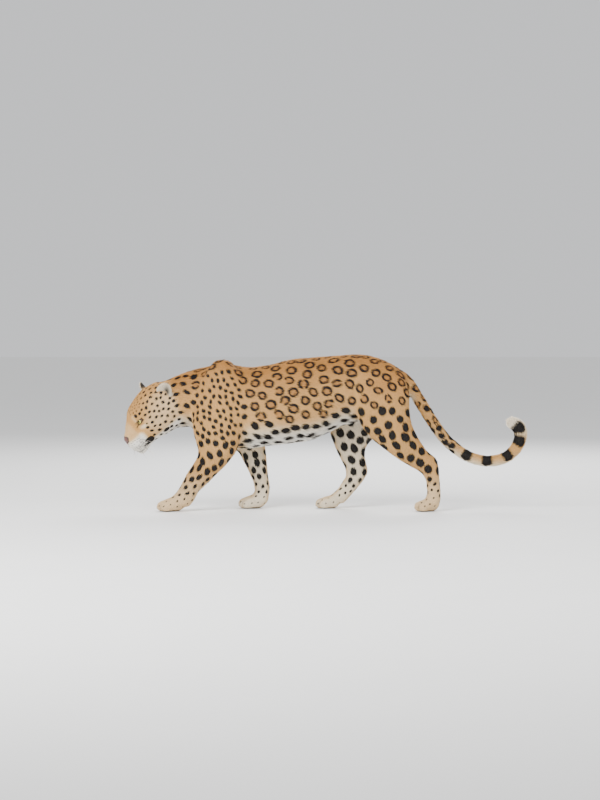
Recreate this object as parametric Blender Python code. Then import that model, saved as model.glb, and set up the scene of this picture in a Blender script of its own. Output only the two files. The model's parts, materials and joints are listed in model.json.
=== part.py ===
"""A life-size walking leopard as solid body parts, for a still, museum-style model.

Units are metres and +Z is up. The animal faces -X, so its left side faces -Y, and it stands on Z = 0.
The body is lofted from named cross-sections, merged into one form by a voxel remesh, and then parted
with thin cuts into head, jaw, nose, ears, neck, trunk, limbs and tail. The eyes are their own balls.
"""

import math
from dataclasses import dataclass

import bmesh
import bpy
from mathutils import Matrix, Vector

# Driving dimensions.
CUT = 0.0006            # width of the thin cuts that part the body
EYE_RADIUS = 0.0145
EYE_GAP = 0.0005        # clearance between an eyeball and its socket
FOOT_FLAT = 0.004       # how far the pads are sunk below the floor before they are cut flat
VOXEL = 0.0045          # cell of the remesh that merges the forms
TRIANGLES = {"body": 2420, "feet": 1120, "head": 1250}  # of each region, before it is parted
HEAD_REAR = -0.69       # x of the back of the finer head
FOOT_TOP = 0.066
CRUMB = 2e-7            # a chip of less volume than this, left by a cut, is dropped

HEAD_PITCH = math.radians(42.0)
HEAD_YAW = math.radians(26.0)
EYE_MIDPOINT = Vector((-0.786, -0.050, 0.396))

LEFT, RIGHT = -1.0, 1.0  # sign of Y on each side of the animal


# ---------------------------------------------------------------------------------------------------
# Cross-sections and lofts
# ---------------------------------------------------------------------------------------------------

@dataclass
class Ring:
    """One cross-section of a limb or of the trunk, standing across the XZ plane.

    fore and aft are the (x, z) ends of its long axis: the top and bottom of a trunk section, or the
    front and back of a limb section. half is its half width across, and egg widens the aft half.
    """

    fore: tuple
    aft: tuple
    y: float
    half: float
    egg: float = 0.0
    square: float = 2.1

    def values(self):
        return (*self.fore, *self.aft, self.y, self.half, self.egg, self.square)

    def points(self, count):
        """The ring's corners, in order round it."""
        top = Vector((self.fore[0], self.y, self.fore[1]))
        low = Vector((self.aft[0], self.y, self.aft[1]))
        middle, long_half = (top + low) / 2, (top - low) / 2
        found = []
        for i in range(count):
            angle = 2 * math.pi * i / count
            c, s = math.cos(angle), math.sin(angle)
            along = math.copysign(abs(c) ** (2 / self.square), c)
            across = math.copysign(abs(s) ** (2 / self.square), s) * self.half
            found.append(middle + long_half * along + Vector((0, across * (1 - self.egg * c), 0)))
        return found


def catmull(before, here, there, after, t):
    """The Catmull-Rom value a share t of the way from here to there."""
    return 0.5 * (
        2 * here
        + (there - before) * t
        + (2 * before - 5 * here + 4 * there - after) * t ** 2
        + (3 * here - before - 3 * there + after) * t ** 3
    )


def smooth_rings(rings, steps):
    """The rings with steps smooth ones for each gap between them."""
    rows = [ring.values() for ring in rings]
    found = []
    for i in range(len(rows) - 1):
        before, after = rows[max(i - 1, 0)], rows[min(i + 2, len(rows) - 1)]
        for step in range(steps):
            mixed = [catmull(*four, step / steps) for four in zip(before, rows[i], rows[i + 1], after)]
            found.append(Ring(tuple(mixed[:2]), tuple(mixed[2:4]), *mixed[4:]))
    return [*found, rings[-1]]


def skin_rings(bm, rings_of_points):
    """Bridges rings of points, in order, into one closed shape with flat ends."""
    loops = [[bm.verts.new(p) for p in points] for points in rings_of_points]
    for one, other in zip(loops, loops[1:]):
        for i in range(len(one)):
            j = (i + 1) % len(one)
            bm.faces.new((one[i], one[j], other[j], other[i]))
    bm.faces.new(loops[0][::-1])
    bm.faces.new(loops[-1])


def loft(bm, rings, count=28, steps=4):
    skin_rings(bm, [ring.points(count) for ring in smooth_rings(rings, steps)])


def ball(bm, centre, radii, turn=Matrix.Identity(3)):
    """A muscle or pad: an ellipsoid with these radii along the turned axes."""
    shape = Matrix.Translation(centre) @ turn.to_4x4() @ Matrix.Diagonal((*radii, 1))
    bmesh.ops.create_uvsphere(bm, u_segments=24, v_segments=16, radius=1, matrix=shape)


def tube(bm, points, radii, count=20):
    """A round tube through points, with a radius at each and half-round ends."""
    tangents = []
    for i in range(len(points)):
        before, after = points[max(i - 1, 0)], points[min(i + 1, len(points) - 1)]
        tangents.append((after - before).normalized())
    loops = []
    for point, tangent, radius in zip(points, tangents, radii):
        side = Vector((0, 1, 0))
        side = (side - tangent * side.dot(tangent)).normalized()
        up = tangent.cross(side)
        turns = [2 * math.pi * i / count for i in range(count)]
        loops.append([point + (side * math.cos(a) + up * math.sin(a)) * radius for a in turns])
    skin_rings(bm, loops)
    ball(bm, points[0], (radii[0],) * 3)
    ball(bm, points[-1], (radii[-1],) * 3)


def smooth_path(points, steps):
    """A Catmull-Rom curve through (x, y, z, radius) rows, as points and radii."""
    found = []
    for i in range(len(points) - 1):
        before, after = points[max(i - 1, 0)], points[min(i + 2, len(points) - 1)]
        for step in range(steps):
            rows = zip(before, points[i], points[i + 1], after)
            found.append([catmull(*four, step / steps) for four in rows])
    found.append(points[-1])
    return [Vector(row[:3]) for row in found], [row[3] for row in found]


# ---------------------------------------------------------------------------------------------------
# Trunk, neck and limbs
# ---------------------------------------------------------------------------------------------------

TRUNK = [
    Ring((-0.555, 0.520), (-0.575, 0.400), 0, 0.050),
    Ring((-0.530, 0.596), (-0.556, 0.335), 0, 0.086, 0.05),
    Ring((-0.490, 0.618), (-0.512, 0.287), 0, 0.102, 0.05),   # front of the chest
    Ring((-0.440, 0.632), (-0.450, 0.264), 0, 0.110, 0.08),   # withers
    Ring((-0.385, 0.620), (-0.385, 0.258), 0, 0.118, 0.10),
    Ring((-0.325, 0.612), (-0.320, 0.262), 0, 0.124, 0.12),   # dip behind the shoulders
    Ring((-0.240, 0.622), (-0.235, 0.274), 0, 0.130, 0.12),
    Ring((-0.155, 0.642), (-0.150, 0.283), 0, 0.133, 0.10),   # deepest ribs
    Ring((-0.070, 0.651), (-0.070, 0.295), 0, 0.130, 0.08),
    Ring((0.000, 0.656), (0.000, 0.324), 0, 0.122, 0.05),
    Ring((0.060, 0.660), (0.055, 0.352), 0, 0.113, 0.02),     # loin
    Ring((0.120, 0.665), (0.115, 0.372), 0, 0.105, 0.00),
    Ring((0.185, 0.659), (0.190, 0.385), 0, 0.101, 0.00),     # croup
    Ring((0.250, 0.637), (0.260, 0.398), 0, 0.096, 0.00),
    Ring((0.305, 0.606), (0.315, 0.425), 0, 0.082, 0.00),
    Ring((0.340, 0.570), (0.345, 0.465), 0, 0.055, 0.00),     # root of the tail
]

NECK = [
    Ring((-0.735, 0.528), (-0.670, 0.362), -0.020, 0.070),
    Ring((-0.695, 0.548), (-0.645, 0.348), -0.012, 0.083),    # behind the ears and jaw
    Ring((-0.645, 0.570), (-0.607, 0.349), -0.004, 0.088),
    Ring((-0.600, 0.588), (-0.578, 0.352), 0, 0.093, 0.05),
    Ring((-0.555, 0.604), (-0.560, 0.335), 0, 0.099, 0.05),
    Ring((-0.500, 0.616), (-0.525, 0.310), 0, 0.100, 0.05),   # inside the chest
]

LEFT_FORELEG = [  # reaching forward
    Ring((-0.478, 0.643), (-0.424, 0.650), -0.056, 0.012),    # top of the shoulder blade
    Ring((-0.515, 0.590), (-0.383, 0.600), -0.074, 0.034),
    Ring((-0.548, 0.500), (-0.358, 0.515), -0.089, 0.044),
    Ring((-0.563, 0.420), (-0.352, 0.430), -0.094, 0.050),    # point of the shoulder
    Ring((-0.566, 0.345), (-0.358, 0.345), -0.095, 0.053),
    Ring((-0.550, 0.285), (-0.370, 0.270), -0.092, 0.052),    # elbow
    Ring((-0.543, 0.243), (-0.412, 0.207), -0.092, 0.048),
    Ring((-0.562, 0.206), (-0.458, 0.160), -0.086, 0.044),    # forearm
    Ring((-0.592, 0.162), (-0.500, 0.116), -0.080, 0.040),
    Ring((-0.617, 0.113), (-0.536, 0.084), -0.075, 0.036),    # wrist
    Ring((-0.641, 0.076), (-0.556, 0.048), -0.072, 0.037),
    Ring((-0.664, 0.054), (-0.582, 0.014), -0.070, 0.040),
]

RIGHT_FORELEG = [  # upright under the chest
    Ring((-0.466, 0.639), (-0.412, 0.645), 0.056, 0.012),     # top of the shoulder blade
    Ring((-0.505, 0.580), (-0.370, 0.595), 0.074, 0.034),
    Ring((-0.540, 0.490), (-0.335, 0.515), 0.089, 0.044),
    Ring((-0.545, 0.410), (-0.312, 0.430), 0.094, 0.050),     # point of the shoulder
    Ring((-0.510, 0.335), (-0.288, 0.355), 0.095, 0.053),
    Ring((-0.440, 0.275), (-0.264, 0.290), 0.092, 0.050),     # elbow
    Ring((-0.383, 0.243), (-0.257, 0.245), 0.092, 0.046),
    Ring((-0.350, 0.185), (-0.252, 0.195), 0.086, 0.041),     # forearm
    Ring((-0.320, 0.126), (-0.246, 0.132), 0.080, 0.036),
    Ring((-0.309, 0.088), (-0.239, 0.096), 0.076, 0.034),     # wrist
    Ring((-0.313, 0.060), (-0.243, 0.060), 0.074, 0.036),
    Ring((-0.326, 0.032), (-0.250, 0.020), 0.072, 0.038),
]

LEFT_HINDLEG = [  # pushing off behind
    Ring((0.150, 0.600), (0.320, 0.575), -0.055, 0.030),      # hip
    Ring((0.125, 0.525), (0.350, 0.505), -0.080, 0.046),
    Ring((0.118, 0.445), (0.351, 0.435), -0.089, 0.053),
    Ring((0.140, 0.368), (0.360, 0.375), -0.089, 0.052),      # thigh
    Ring((0.188, 0.307), (0.378, 0.330), -0.094, 0.050),      # knee
    Ring((0.240, 0.264), (0.398, 0.297), -0.091, 0.044),
    Ring((0.293, 0.224), (0.421, 0.264), -0.087, 0.037),      # shank
    Ring((0.348, 0.190), (0.447, 0.240), -0.083, 0.032),
    Ring((0.390, 0.166), (0.468, 0.222), -0.080, 0.029),      # hock
    Ring((0.413, 0.140), (0.476, 0.182), -0.078, 0.028),
    Ring((0.420, 0.110), (0.480, 0.125), -0.076, 0.028),
    Ring((0.422, 0.075), (0.485, 0.070), -0.074, 0.030),
    Ring((0.415, 0.045), (0.478, 0.022), -0.073, 0.034),
]

RIGHT_HINDLEG = [  # swung forward
    Ring((0.135, 0.600), (0.320, 0.570), 0.055, 0.030),       # hip
    Ring((0.090, 0.525), (0.340, 0.500), 0.080, 0.046),
    Ring((0.055, 0.450), (0.320, 0.430), 0.089, 0.053),
    Ring((0.025, 0.385), (0.265, 0.360), 0.089, 0.052),       # thigh
    Ring((0.012, 0.330), (0.205, 0.297), 0.094, 0.050),       # knee
    Ring((0.027, 0.285), (0.174, 0.262), 0.091, 0.044),
    Ring((0.046, 0.238), (0.169, 0.232), 0.087, 0.038),       # shank
    Ring((0.066, 0.197), (0.172, 0.200), 0.083, 0.033),
    Ring((0.081, 0.165), (0.183, 0.162), 0.080, 0.030),       # hock
    Ring((0.081, 0.139), (0.169, 0.127), 0.078, 0.029),
    Ring((0.065, 0.108), (0.142, 0.092), 0.076, 0.029),
    Ring((0.043, 0.079), (0.108, 0.054), 0.074, 0.031),
    Ring((0.020, 0.058), (0.073, 0.016), 0.073, 0.035),
]

TAIL = [  # (x, y, z, radius) along its middle
    (0.285, 0.000, 0.568, 0.044),
    (0.325, 0.000, 0.551, 0.037),
    (0.361, 0.001, 0.519, 0.0305),
    (0.404, 0.003, 0.450, 0.0265),
    (0.440, 0.006, 0.393, 0.0255),
    (0.474, 0.009, 0.341, 0.0255),
    (0.508, 0.012, 0.298, 0.0252),
    (0.546, 0.014, 0.264, 0.0250),
    (0.590, 0.015, 0.233, 0.0248),
    (0.640, 0.014, 0.213, 0.0245),
    (0.694, 0.010, 0.206, 0.0245),
    (0.748, 0.004, 0.216, 0.0250),
    (0.789, -0.003, 0.242, 0.0255),
    (0.816, -0.010, 0.281, 0.0270),
    (0.825, -0.015, 0.321, 0.0285),
    (0.815, -0.018, 0.353, 0.0290),
    (0.791, -0.018, 0.369, 0.0275),
]


# ---------------------------------------------------------------------------------------------------
# Feet
# ---------------------------------------------------------------------------------------------------

@dataclass
class Foot:
    """A paw on the floor. toe is the (x, y) of the front of its middle toes."""

    toe: tuple
    length: float
    width: float
    height: float
    turn: float      # degrees that the toes turn out from straight ahead
    side: float


FEET = {
    "forepaw_left": Foot((-0.722, -0.072), 0.130, 0.092, 0.056, 3, LEFT),
    "forepaw_right": Foot((-0.381, 0.074), 0.128, 0.092, 0.056, 3, RIGHT),
    "hindpaw_left": Foot((0.366, -0.076), 0.116, 0.082, 0.052, 5, LEFT),
    "hindpaw_right": Foot((-0.050, 0.076), 0.116, 0.082, 0.052, 5, RIGHT),
}
TOE_PLACES = ((-0.37, 0.20), (-0.13, 0.0), (0.13, 0.0), (0.37, 0.16))  # (across, back) shares of the width


def paw(bm, foot):
    """A rounded paw with four toes, a sole that dips below the floor, and a dewclaw on a forepaw."""
    facing = Matrix.Rotation(math.radians(-foot.turn * foot.side) + math.pi, 3, "Z")
    front = Vector((*foot.toe, 0))
    half, toe_long = foot.width / 2, foot.length * 0.25

    def place(ahead, across, up):
        return front + facing @ Vector((ahead, across, 0)) + Vector((0, 0, up))

    sole = -FOOT_FLAT
    for across, back in TOE_PLACES:
        radii = (toe_long, foot.width * 0.150, foot.height * 0.44)
        behind = back * foot.width
        ball(bm, place(-toe_long - behind, across * foot.width, sole + radii[2]), radii, facing)
        knuckle = place(-toe_long * 1.5 - behind, across * foot.width * 0.92, foot.height * 0.60)
        ball(bm, knuckle, (toe_long * 0.95, foot.width * 0.145, foot.height * 0.33), facing)
    palm = place(-foot.length * 0.60, 0, foot.height * 0.44 + sole)
    ball(bm, palm, (foot.length * 0.34, half * 0.84, foot.height * 0.44), facing)
    instep = place(-foot.length * 0.52, 0, foot.height * 0.62)
    ball(bm, instep, (foot.length * 0.30, half * 0.72, foot.height * 0.44), facing)


# ---------------------------------------------------------------------------------------------------
# Head
# ---------------------------------------------------------------------------------------------------

def head_axes():
    """The head's own frame: +X ahead along the palate, +Y to the animal's left, +Z up through the skull."""
    ahead = Vector((
        -math.cos(HEAD_PITCH) * math.cos(HEAD_YAW),
        -math.cos(HEAD_PITCH) * math.sin(HEAD_YAW),
        -math.sin(HEAD_PITCH),
    ))
    left = Vector((math.sin(HEAD_YAW), -math.cos(HEAD_YAW), 0))
    turn = Matrix((ahead, left, ahead.cross(left))).transposed()
    return Matrix.Translation(EYE_MIDPOINT) @ turn.to_4x4()


# Sections across the head: how far ahead of the eyes each lies, then (across, up) pairs down its left
# half, from the middle of the top by brow, eye, cheekbone, lip and jaw to the middle of the underside.
SKULL = (
    (-0.165, ((0, 0.060), (0.034, 0.055), (0.060, 0.038), (0.075, 0.006), (0.082, -0.030),
              (0.080, -0.068), (0.064, -0.098), (0.035, -0.117), (0, -0.122))),
    (-0.120, ((0, 0.074), (0.035, 0.069), (0.063, 0.048), (0.079, 0.014), (0.087, -0.030),
              (0.089, -0.072), (0.076, -0.108), (0.044, -0.130), (0, -0.132))),
    (-0.080, ((0, 0.081), (0.035, 0.076), (0.062, 0.055), (0.076, 0.018), (0.087, -0.022),
              (0.093, -0.064), (0.083, -0.105), (0.052, -0.133), (0, -0.131))),
    (-0.042, ((0, 0.077), (0.033, 0.072), (0.057, 0.052), (0.069, 0.018), (0.083, -0.018),
              (0.087, -0.057), (0.078, -0.096), (0.050, -0.126), (0, -0.122))),
    (-0.012, ((0, 0.069), (0.030, 0.066), (0.050, 0.049), (0.059, 0.016), (0.077, -0.018),
              (0.079, -0.054), (0.069, -0.090), (0.044, -0.117), (0, -0.113))),
    (0.014, ((0, 0.061), (0.027, 0.060), (0.044, 0.044), (0.047, 0.010), (0.066, -0.018),
             (0.069, -0.050), (0.061, -0.084), (0.040, -0.111), (0, -0.108))),
    (0.036, ((0, 0.047), (0.021, 0.046), (0.034, 0.032), (0.036, 0.003), (0.052, -0.020),
             (0.055, -0.050), (0.052, -0.080), (0.037, -0.106), (0, -0.110))),
    (0.060, ((0, 0.026), (0.018, 0.026), (0.027, 0.014), (0.032, -0.008), (0.041, -0.030),
             (0.047, -0.054), (0.047, -0.078), (0.034, -0.106), (0, -0.122))),
    (0.084, ((0, 0.006), (0.017, 0.006), (0.024, -0.005), (0.031, -0.023), (0.041, -0.042),
             (0.049, -0.060), (0.046, -0.080), (0.029, -0.106), (0, -0.123))),
    (0.102, ((0, -0.005), (0.017, -0.007), (0.022, -0.016), (0.027, -0.031), (0.036, -0.047),
             (0.042, -0.062), (0.036, -0.080), (0.022, -0.102), (0, -0.114))),
    (0.114, ((0, -0.012), (0.015, -0.014), (0.018, -0.022), (0.019, -0.034), (0.024, -0.048),
             (0.026, -0.061), (0.021, -0.076), (0.012, -0.088), (0, -0.092))),
    (0.120, ((0, -0.020), (0.008, -0.021), (0.011, -0.026), (0.012, -0.034), (0.013, -0.042),
             (0.013, -0.050), (0.010, -0.058), (0.006, -0.062), (0, -0.064))),
)

# (ahead, across, up), then radii along the same axes. Those off the middle are made on both sides.
HEAD_MASSES = {
    "brow": ((0.010, 0.036, 0.033), (0.026, 0.019, 0.013)),
    "whisker pad": ((0.087, 0.025, -0.060), (0.030, 0.025, 0.026)),
    "chin": ((0.085, 0.0, -0.105), (0.020, 0.023, 0.019)),
    "nose": ((0.111, 0.0, -0.026), (0.012, 0.021, 0.014)),
}

EYE_PLACE = Vector((0.019, 0.0415, 0.000))  # ahead, across and up in the head's frame
EAR_THICK = 0.0055
EAR_OUTLINE = (  # (across, up) from the outer root over the tip to the inner root
    (0.033, -0.030), (0.0345, -0.008), (0.0345, 0.014), (0.032, 0.034), (0.025, 0.051), (0.013, 0.062),
    (-0.001, 0.065), (-0.014, 0.061), (-0.024, 0.050), (-0.030, 0.032), (-0.033, 0.012),
    (-0.034, -0.008), (-0.033, -0.030),
)



@dataclass
class Ear:
    """An ear's root, the way it stands and the way its cup opens, as (ahead, across, up)."""

    side: float
    place: tuple
    up: tuple
    opening: tuple


EARS = {
    "ear_left": Ear(LEFT, (-0.110, 0.071, 0.014), (-0.58, 0.48, 0.64), (0.66, 0.66, 0.10)),
    "ear_right": Ear(RIGHT, (-0.100, 0.069, 0.026), (-0.26, 0.54, 0.80), (0.80, 0.50, 0.15)),
}


def mirrored(place, side):
    """The place in the head's frame for the left or right side. The frame's +Y is the animal's left."""
    return Vector((place[0], -side * place[1], place[2]))


def around(points, steps):
    """A closed Catmull-Rom curve through points."""
    n = len(points)
    found = []
    for i in range(n):
        four = [points[(i + k) % n] for k in (-1, 0, 1, 2)]
        for step in range(steps):
            found.append(Vector([catmull(*values, step / steps) for values in zip(*four)]))
    return found


def head(bm, frame):
    """The skull's sections, smoothed both ways and skinned, and the masses of the face on it."""
    rings = []
    for ahead, half in SKULL:
        left = [Vector((ahead, c, b)) for c, b in half]
        right = [Vector((ahead, -c, b)) for c, b in half[-2:0:-1]]
        rings.append(around(left + right, 2))
    loops = []
    for i in range(len(rings) - 1):
        before, after = rings[max(i - 1, 0)], rings[min(i + 2, len(rings) - 1)]
        for step in range(3):
            rows = zip(before, rings[i], rings[i + 1], after)
            loops.append([catmull(*four, step / 3) for four in rows])
    loops.append(rings[-1])
    skin_rings(bm, [[frame @ p for p in loop] for loop in loops])
    turn = frame.to_3x3()
    for place, radii in HEAD_MASSES.values():
        for side in (LEFT, RIGHT) if place[1] else (LEFT,):
            ball(bm, frame @ mirrored(place, side), radii, turn)


def ear_sheet(frame, ear):
    """One cupped, round-topped ear as a sheet of faces, opening forward and outward."""
    bm = bmesh.new()
    up = mirrored(ear.up, ear.side).normalized()
    opening = mirrored(ear.opening, ear.side)
    opening = (opening - up * opening.dot(up)).normalized()
    edgewise = up.cross(opening) * ear.side
    root = mirrored(ear.place, ear.side)

    def place(across, high, share):
        depth = 0.020 * (1 - share ** 2) * max(1 - 0.45 * high / 0.058, 0.3)
        p = root + edgewise * across + up * high - opening * (depth + 0.008 * (high / 0.058) ** 2)
        return bm.verts.new(frame @ p)

    middle = Vector((0.0, 0.006))
    rows = []
    for share in (0.35, 0.7, 1.0):
        row = []
        for across, high in EAR_OUTLINE:
            spot = middle + (Vector((across, high)) - middle) * share
            row.append(place(spot.x, spot.y, share))
        rows.append(row)
    hub = place(middle.x, middle.y, 0.0)
    for i in range(len(EAR_OUTLINE)):
        j = (i + 1) % len(EAR_OUTLINE)
        bm.faces.new((hub, rows[0][i], rows[0][j]))
        for inner, outer in zip(rows, rows[1:]):
            bm.faces.new((inner[i], outer[i], outer[j], inner[j]))
    bmesh.ops.recalc_face_normals(bm, faces=bm.faces)
    return bm


# ---------------------------------------------------------------------------------------------------
# Objects, modifiers and materials
# ---------------------------------------------------------------------------------------------------

def add_object(name, bm):
    mesh = bpy.data.meshes.new(name)
    bm.to_mesh(mesh)
    bm.free()
    obj = bpy.data.objects.new(name, mesh)
    bpy.context.scene.collection.objects.link(obj)
    return obj


def apply_modifiers(obj):
    """Replaces the object's mesh by its evaluated one, and clears its modifiers."""
    graph = bpy.context.evaluated_depsgraph_get()
    mesh = bpy.data.meshes.new_from_object(obj.evaluated_get(graph))
    obj.modifiers.clear()
    obj.data = mesh
    return obj


def boolean(obj, other, operation):
    modifier = obj.modifiers.new(operation.lower(), "BOOLEAN")
    modifier.operation, modifier.object, modifier.solver = operation, other, "EXACT"
    apply_modifiers(obj)
    bpy.data.objects.remove(other)
    return obj


def plain_material(name, colour, roughness):
    material = bpy.data.materials.new(name)
    material.use_nodes = True
    shader = material.node_tree.nodes["Principled BSDF"]
    shader.inputs["Base Color"].default_value = (*colour, 1)
    shader.inputs["Roughness"].default_value = roughness
    return material


def body_form():
    """The whole animal without ears and eyes, merged and smoothed."""
    bm = bmesh.new()
    for rings in (TRUNK, NECK, LEFT_FORELEG, RIGHT_FORELEG, LEFT_HINDLEG, RIGHT_HINDLEG):
        loft(bm, rings)
    tube(bm, *smooth_path(TAIL, 4))
    for foot in FEET.values():
        paw(bm, foot)
    head(bm, head_axes())
    bmesh.ops.recalc_face_normals(bm, faces=bm.faces)
    obj = add_object("form", bm)
    remesh = obj.modifiers.new("merge", "REMESH")
    remesh.mode, remesh.voxel_size = "VOXEL", VOXEL
    apply_modifiers(obj)
    group = obj.vertex_groups.new(name="broad")
    for vertex in obj.data.vertices:
        x, _, z = vertex.co
        face = min(max((-0.66 - x) / 0.08, 0), 1)
        foot = min(max((0.10 - z) / 0.05, 0), 1)
        group.add([vertex.index], 1 - max(face, foot), "REPLACE")
    for name, steps, weights in (("soften all", 5, ""), ("soften the body", 40, "broad")):
        smooth = obj.modifiers.new(name, "SMOOTH")
        smooth.factor, smooth.iterations, smooth.vertex_group = 0.5, steps, weights
    for region in TRIANGLES:
        thin_out(obj, region)
    return obj


def region_of(place):
    if place.x < HEAD_REAR and place.z > 0.2:
        return "head"
    return "feet" if place.z < FOOT_TOP else "body"


def thin_out(obj, region):
    """Brings one region of the form down to its number of triangles and leaves the rest as it is."""
    obj.vertex_groups.clear()
    group = obj.vertex_groups.new(name=region)
    chosen = {vertex.index for vertex in obj.data.vertices if region_of(vertex.co) == region}
    group.add(list(chosen), 1.0, "REPLACE")
    inside = total = 0
    for face in obj.data.polygons:
        count = len(face.vertices) - 2
        total += count
        inside += count if face.vertices[0] in chosen else 0
    modifier = obj.modifiers.new("thin", "DECIMATE")
    modifier.ratio = (total - inside + TRIANGLES[region]) / total
    modifier.vertex_group, modifier.vertex_group_factor = region, 10.0
    apply_modifiers(obj)


# ---------------------------------------------------------------------------------------------------
# Parting the form
# ---------------------------------------------------------------------------------------------------

# Outlines, as (x, z), round each limb seen from its side: up its front, over its top and down its back.
LIMB_OUTLINES = {
    LEFT: (
        ((-0.80, -0.02), (-0.80, 0.070), (-0.70, 0.105), (-0.625, 0.175), (-0.576, 0.240), (-0.575, 0.330),
         (-0.570, 0.400), (-0.560, 0.470), (-0.545, 0.530), (-0.520, 0.580), (-0.490, 0.603),
         (-0.410, 0.603), (-0.372, 0.570), (-0.350, 0.500), (-0.342, 0.430), (-0.345, 0.360),
         (-0.348, 0.300), (-0.356, 0.240), (-0.390, 0.170), (-0.440, 0.110), (-0.490, 0.050),
         (-0.50, -0.02)),
        ((0.33, -0.02), (0.33, 0.100), (0.370, 0.135), (0.330, 0.170), (0.270, 0.205), (0.210, 0.250),
         (0.160, 0.300), (0.122, 0.360), (0.104, 0.420), (0.103, 0.480), (0.115, 0.540), (0.145, 0.585),
         (0.190, 0.605), (0.250, 0.600), (0.300, 0.580), (0.335, 0.550), (0.360, 0.510), (0.368, 0.460),
         (0.374, 0.400), (0.390, 0.350), (0.415, 0.312), (0.460, 0.275), (0.510, 0.250), (0.520, 0.150),
         (0.52, -0.02)),
    ),
    RIGHT: (
        ((-0.46, -0.02), (-0.46, 0.080), (-0.400, 0.130), (-0.420, 0.200), (-0.470, 0.250),
         (-0.545, 0.310), (-0.566, 0.370), (-0.562, 0.430), (-0.550, 0.500), (-0.520, 0.565),
         (-0.485, 0.600), (-0.385, 0.600), (-0.350, 0.560), (-0.322, 0.500), (-0.298, 0.430),
         (-0.275, 0.360), (-0.250, 0.300), (-0.235, 0.250), (-0.215, 0.180), (-0.205, 0.100),
         (-0.205, -0.02)),
        ((-0.10, -0.02), (-0.10, 0.090), (-0.020, 0.120), (0.030, 0.160), (0.010, 0.220),
         (-0.010, 0.280), (-0.010, 0.330), (0.005, 0.390), (0.035, 0.455), (0.070, 0.530),
         (0.110, 0.580), (0.160, 0.605), (0.240, 0.602), (0.300, 0.575), (0.342, 0.530), (0.352, 0.480),
         (0.335, 0.420), (0.290, 0.350), (0.240, 0.290), (0.200, 0.250), (0.205, 0.190),
         (0.220, 0.150), (0.190, 0.100), (0.140, 0.050), (0.13, -0.02)),
    ),
}


@dataclass
class Plate:
    """A thin plate that parts the body across one place.

    tilt is the angle of its normal above +X, turn swings that normal about Z, and size is its width
    and height.
    """

    centre: tuple
    tilt: float
    size: tuple
    turn: float = 0.0


PLATES = {
    "head from neck": Plate((-0.648, -0.010, 0.455), 16.0, (0.26, 0.34), 12.0),
    "neck from trunk": Plate((-0.574, 0.0, 0.480), -7.0, (0.30, 0.40)),
    "tail root": Plate((0.391, 0.002, 0.471), -58.0, (0.078, 0.084)),
    "tail two": Plate((0.490, 0.010, 0.318), -50.0, (0.090, 0.090)),
    "tail three": Plate((0.665, 0.012, 0.2085), -6.0, (0.090, 0.090)),
    "tail four": Plate((0.806, -0.007, 0.263), 58.0, (0.090, 0.090)),
    "left elbow": Plate((-0.482, -0.086, 0.212), 59.0, (0.130, 0.200)),
    "left wrist": Plate((-0.604, -0.073, 0.069), 68.0, (0.110, 0.150)),
    "right elbow": Plate((-0.318, 0.088, 0.232), 90.0, (0.130, 0.200)),
    "right wrist": Plate((-0.276, 0.074, 0.070), 96.0, (0.110, 0.130)),
    "left knee": Plate((0.330, -0.089, 0.262), 120.0, (0.120, 0.190)),
    "left hock": Plate((0.449, -0.076, 0.118), 97.0, (0.110, 0.110)),
    "right knee": Plate((0.105, 0.089, 0.252), 94.0, (0.120, 0.220)),
    "right hock": Plate((0.105, 0.077, 0.101), 62.0, (0.110, 0.120)),
}

# Where each part lies, to name it by: a point near its middle.
PARTS = {
    "head": (-0.740, -0.035, 0.430),
    "jaw": (-0.765, -0.075, 0.262),
    "nose": (-0.850, -0.100, 0.305),
    "neck": (-0.612, 0.0, 0.470),
    "trunk": (-0.080, 0.0, 0.480),
    "tail_root": (0.425, 0.005, 0.410),
    "tail_middle": (0.570, 0.014, 0.250),
    "tail_bend": (0.740, 0.004, 0.220),
    "tail_tip": (0.815, -0.015, 0.330),
    "shoulder_left": (-0.460, -0.095, 0.400),
    "forearm_left": (-0.540, -0.080, 0.150),
    "forepaw_left": (-0.650, -0.072, 0.030),
    "shoulder_right": (-0.430, 0.095, 0.400),
    "forearm_right": (-0.300, 0.082, 0.150),
    "forepaw_right": (-0.310, 0.074, 0.030),
    "thigh_left": (0.250, -0.090, 0.440),
    "shank_left": (0.420, -0.080, 0.200),
    "hindfoot_left": (0.425, -0.075, 0.050),
    "thigh_right": (0.180, 0.090, 0.430),
    "shank_right": (0.120, 0.080, 0.180),
    "hindfoot_right": (0.030, 0.075, 0.040),
}


def shell(name, bm):
    """A hollow skin, one cut thick, round a closed form. Cutting with it parts inside from outside."""
    bmesh.ops.recalc_face_normals(bm, faces=bm.faces)
    obj = add_object(name, bm)
    modifier = obj.modifiers.new("hollow", "SOLIDIFY")
    modifier.thickness, modifier.offset, modifier.use_even_offset = CUT, 1.0, True
    return apply_modifiers(obj)


def limb_cutter(outline, side):
    """A shell round one limb, from the middle of the body outward; its inner face leans out at the top."""
    bm = bmesh.new()
    inner = [Vector((x, side * (0.1 * z - 0.006), z)) for x, z in outline]
    outer = [Vector((x, side * 0.25, z)) for x, z in outline]
    skin_rings(bm, [inner, outer])
    return shell("limb cutter", bm)


def plate_cutter(plate):
    bm = bmesh.new()
    turn = Matrix.Rotation(math.radians(plate.turn), 4, "Z")
    tilt = Matrix.Rotation(math.radians(-plate.tilt), 4, "Y")
    width, height = plate.size
    size = Matrix.Diagonal((CUT, width, height, 1))
    bmesh.ops.create_cube(bm, size=1, matrix=Matrix.Translation(plate.centre) @ turn @ tilt @ size)
    return add_object("plate", bm)


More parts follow.
